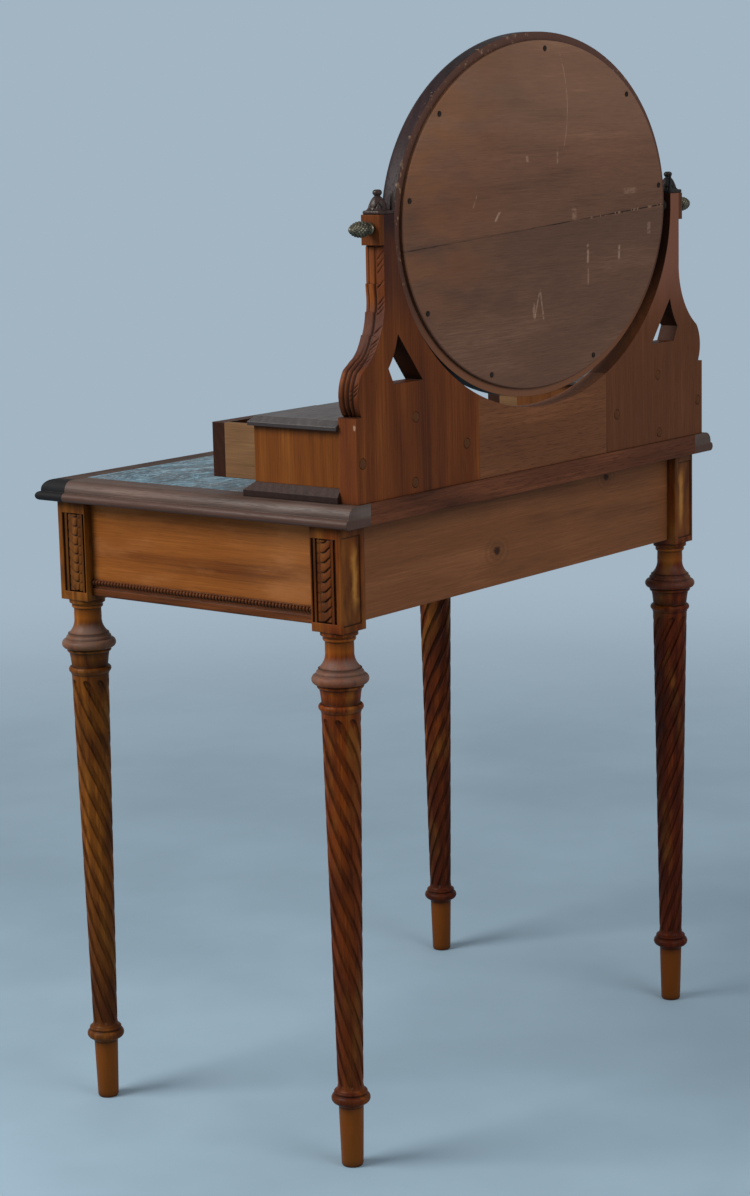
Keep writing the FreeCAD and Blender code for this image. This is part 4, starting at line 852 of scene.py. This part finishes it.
scratch, (place, middle, half, lean, bow, width) = shared_effect(
    "scratch", Vector="Vector", Middle="Vector", Half=0.02, Lean=0.0, Bow=0.0, Width=0.0006)
across, _, height = place.vector_maths("SUBTRACT", middle).parts()
line = height * lean + height * height * bow + (place.noise((120, 120, 120), 2.0) - 0.5) * 0.0015
sides = (abs(across - line) / width).ramped(0.4, 1.0, 1.0, 0.0)
ends = (abs(height) / half).ramped(0.7, 1.0, 1.0, 0.0)
give(scratch, Mask=sides * ends * place.noise((150, 150, 220), 2.0).ramped(0.3, 0.55))

SEAM_HEIGHT, SEAM_LEAN = 1.0253, 0.0561
# For each scratch: its place across and up, half its length, its lean, bow, width and strength
SCRATCHES = (
    (-0.05, 1.166, 0.06, 0.1, 4.0, 0.0009, 0.45), (-0.0967, 0.989, 0.013, 0.02, 0.0, 0.003, 0.5),
    (-0.164, 0.987, 0.01, 0.0, 0.0, 0.003, 0.55), (-0.002, 0.936, 0.02, 0.22, 0.0, 0.0017, 0.45),
    (0.008, 0.936, 0.017, -0.3, 0.0, 0.0017, 0.45), (0.014, 0.93, 0.01, 0.1, 0.0, 0.0034, 0.35),
    (-0.098, 0.962, 0.012, 0.0, 0.0, 0.0018, 0.35), (0.0875, 1.04, 0.006, -0.9, 0.0, 0.0028, 0.6),
    (0.1305, 1.058, 0.008, -0.5, 0.0, 0.0014, 0.35), (-0.031, 1.104, 0.01, 0.0, 0.0, 0.002, 0.35),
    (0.03, 1.102, 0.004, 0.2, 0.0, 0.0032, 0.4), (-0.067, 1.036, 0.008, 0.1, 0.0, 0.0062, 0.3),
    (-0.23, 1.013, 0.008, 0.0, 0.0, 0.005, 0.3), (-0.186, 1.059, 0.004, 0.0, 0.0, 0.018, 0.25))


def back_scratches(place):
    """The seam between the two boards, clouds of old polish, and the scratches."""
    across, _, height = place.parts()
    yield place.noise((7, 7, 12)).ramped(0.5, 0.75, 0.0, 0.35), "3f2a20"
    yield height.ramped(1.08, 1.18, 0.0, 0.17), "a5846a"
    yield height.ramped(0.97, 1.03) * height.ramped(1.03, 1.13, 0.3, 0.0), "4d3529"
    golden = across.ramped(0.03, 0.19, 0.0, 0.35) * height.ramped(0.9, 1.0)
    yield golden * place.noise((9, 9, 30)).ramped(0.35, 0.6), "8c5832"
    seam = abs(height + across * SEAM_LEAN + place.noise((60, 60, 60), 2.0) * 0.0006 - SEAM_HEIGHT)
    open_part = place.noise((16, 16, 3)).ramped(0.35, 0.6, 0.25, 1.0)
    yield open_part * seam.ramped(0.0003, 0.0011, 1.0, 0.0), "1c0f0a"
    worn_part = across.ramped(-0.06, -0.13) * place.noise((150, 40, 60)).ramped(0.52, 0.6)
    yield worn_part * seam.ramped(0.0008, 0.0018, 0.5, 0.0), "ab8566"
    for x, z, half, lean, bow, width, strength in SCRATCHES:
        cut = place.effect(scratch, "Mask", Middle=(x, 0.23, z), Half=half, Lean=lean, Bow=bow, Width=width)
        yield cut * strength, "b5937a"


def chipped_rim(place):
    """Brown behind, near black below from painted shade, and small pale chips where the back boards meet the frame."""
    _, depth, height = place.parts()
    backwards = place.beside("Normal").parts()[1]
    # Painted shade makes the lower part of the frame near black
    yield height.ramped(1.0, 1.08, 0.8, 0.0), "100a0a"
    yield backwards.ramped(0.75, 0.97, 0.0, 0.75), "65463a"
    yield backwards.ramped(0.5, 0.9) * height.ramped(0.86, 0.98, 0.6, 0.0), "8a5a3c"
    chips = place.noise((260, 60, 190)).ramped(0.6, 0.66) * place.noise((14, 14, 14), 2.0).ramped(0.45, 0.6)
    yield chips * depth.ramped(0.219, 0.2215) * 0.7, "a58467"


dress(wood("upper back walnut", "X", (0.2, 0.25, -0.93), "976d53", "75503c", "4c3125", rings=50, figure=0.15,
           streaks=0.3, pores=0.25, rough=0.55, shine=0.2, tilt=2.0, marks=back_scratches), "mirror_back_upper")
dress(wood("lower back walnut", "X", (0.9, 0.22, -0.86), "84604b", "674838", "442c20", rings=45, figure=0.15,
           streaks=0.3, pores=0.25, rough=0.55, shine=0.2, tilt=2.0, marks=back_scratches), "mirror_back_lower")
dress(wood("mirror frame walnut", "Z", (0.3, 0.1, 0.3), "3e2e30", "2c2022", "1a1213", worn="5e473c", rings=70,
           figure=0.25, streaks=0.5, rough=0.45, marks=chipped_rim), "mirror_frame")
dress(wood("block pine", "X", (0.1, 0.1, -0.9), "a98c66", "8f7250", "6b5136", pores=0.1, rough=0.7), "glass_blocks")
silvered, place = bare_material("silvered glass")
spots = place.noise((160, 160, 160)).ramped(0.66, 0.74, 0.0, 0.35)
surface(add(place.tree, "ShaderNodeBsdfPrincipled",
            {"Base Color": over(spots, "e4e8e8", "8b8d88"), "Metallic": 1.0, "Roughness": 0.03}))
dress(silvered, "mirror_glass")
dress(metal("screw steel", "332b26", "120d0a", 0.5, 0.7), "mirror_back_screws")

# ---- Floor, light and camera -------------------------------------------------------------------
# A plain pale studio floor that fades into the same pale blue grey behind, one large soft lamp on
# the right end of the table, and the camera where the photograph was taken.
floor = bmesh.new()
bmesh.ops.create_circle(floor, cap_ends=True, segments=96, radius=6.0)
floor_mesh = bpy.data.meshes.new("studio floor")
floor.to_mesh(floor_mesh)
floor.free()
studio_floor = bpy.data.objects.new("studio_floor", floor_mesh)
bpy.context.scene.collection.objects.link(studio_floor)
pale_floor, place = bare_material("pale floor")
colour = over(place.noise((2.2, 2.2, 2.2), 4.0).ramped(0.3, 0.7), "8fa8b9", "9ab4c6")
ground = add(place.tree, "ShaderNodeBsdfPrincipled", {"Base Color": colour, "Roughness": 0.8})
clear = add(place.tree, "ShaderNodeBsdfTransparent", {})
fading = place.vector_maths("LENGTH", output="Value").ramped(0.9, 3.4)
surface(add(place.tree, "ShaderNodeMixShader", {0: fading, 1: ground, 2: clear}))
floor_mesh.materials.append(pale_floor)

world = bpy.data.worlds.new("studio")
bpy.context.scene.world = world
world.use_nodes = True
tree = world.node_tree
tree.nodes.clear()
seen = add(tree, "ShaderNodeLightPath", {}, "Is Camera Ray")
seen = seen.maths("MAXIMUM", seen.beside("Is Transmission Ray"))
light = add(tree, "ShaderNodeBackground", {"Color": "fafcff", "Strength": 0.36})
backdrop = add(tree, "ShaderNodeBackground", {"Color": "a3b5c3", "Strength": 1.0})
surface(add(tree, "ShaderNodeMixShader", {0: seen, 1: light, 2: backdrop}), "World")


def soft_lamp(name, place, aim, size, power, colour):
    """A round lamp that shines towards a point."""
    lamp = bpy.data.lights.new(name, "AREA")
    lamp.shape, lamp.size, lamp.energy, lamp.color = "DISK", size, power, colour
    carrier = bpy.data.objects.new(name, lamp)
    bpy.context.scene.collection.objects.link(carrier)
    towards = (Vector(aim) - Vector(place)).to_track_quat("-Z", "Y").to_matrix().to_4x4()
    carrier.matrix_world = Matrix.Translation(place) @ towards


soft_lamp("large_lamp", (2.3, -1.3, 2.5), (0, 0, 0.6), 1.8, 94.0, (1.0, 0.97, 0.93))
soft_lamp("fill_lamp", (0.4, 3.0, 2.2), (0, 0, 0.7), 2.2, 36.0, (1.0, 1.0, 1.0))

lens = bpy.data.cameras.new("view")
SENSOR, FOCAL_PIXELS, PHOTO_ROWS = 36.0, 2639.0, 1196.0
lens.sensor_fit, lens.sensor_height, lens.lens = "VERTICAL", SENSOR, FOCAL_PIXELS * SENSOR / PHOTO_ROWS
camera = bpy.data.objects.new("view", lens)
bpy.context.scene.collection.objects.link(camera)
azimuth, elevation, roll = math.radians(128.0), math.radians(10.49), math.radians(-1.32)
behind = Vector((math.sin(azimuth) * math.cos(elevation), -math.cos(azimuth) * math.cos(elevation),
                 math.sin(elevation)))
level = (-behind).cross(Vector((0, 0, 1))).normalized()
upwards = level.cross(-behind)
right = math.cos(roll) * level + math.sin(roll) * upwards
top = -math.sin(roll) * level + math.cos(roll) * upwards
camera.matrix_world = Matrix.Translation((2.5145, 1.9373, 1.161)) @ Matrix((right, top, behind)).transposed().to_4x4()
bpy.context.scene.camera = camera
bpy.context.scene.view_settings.view_transform = "Standard"
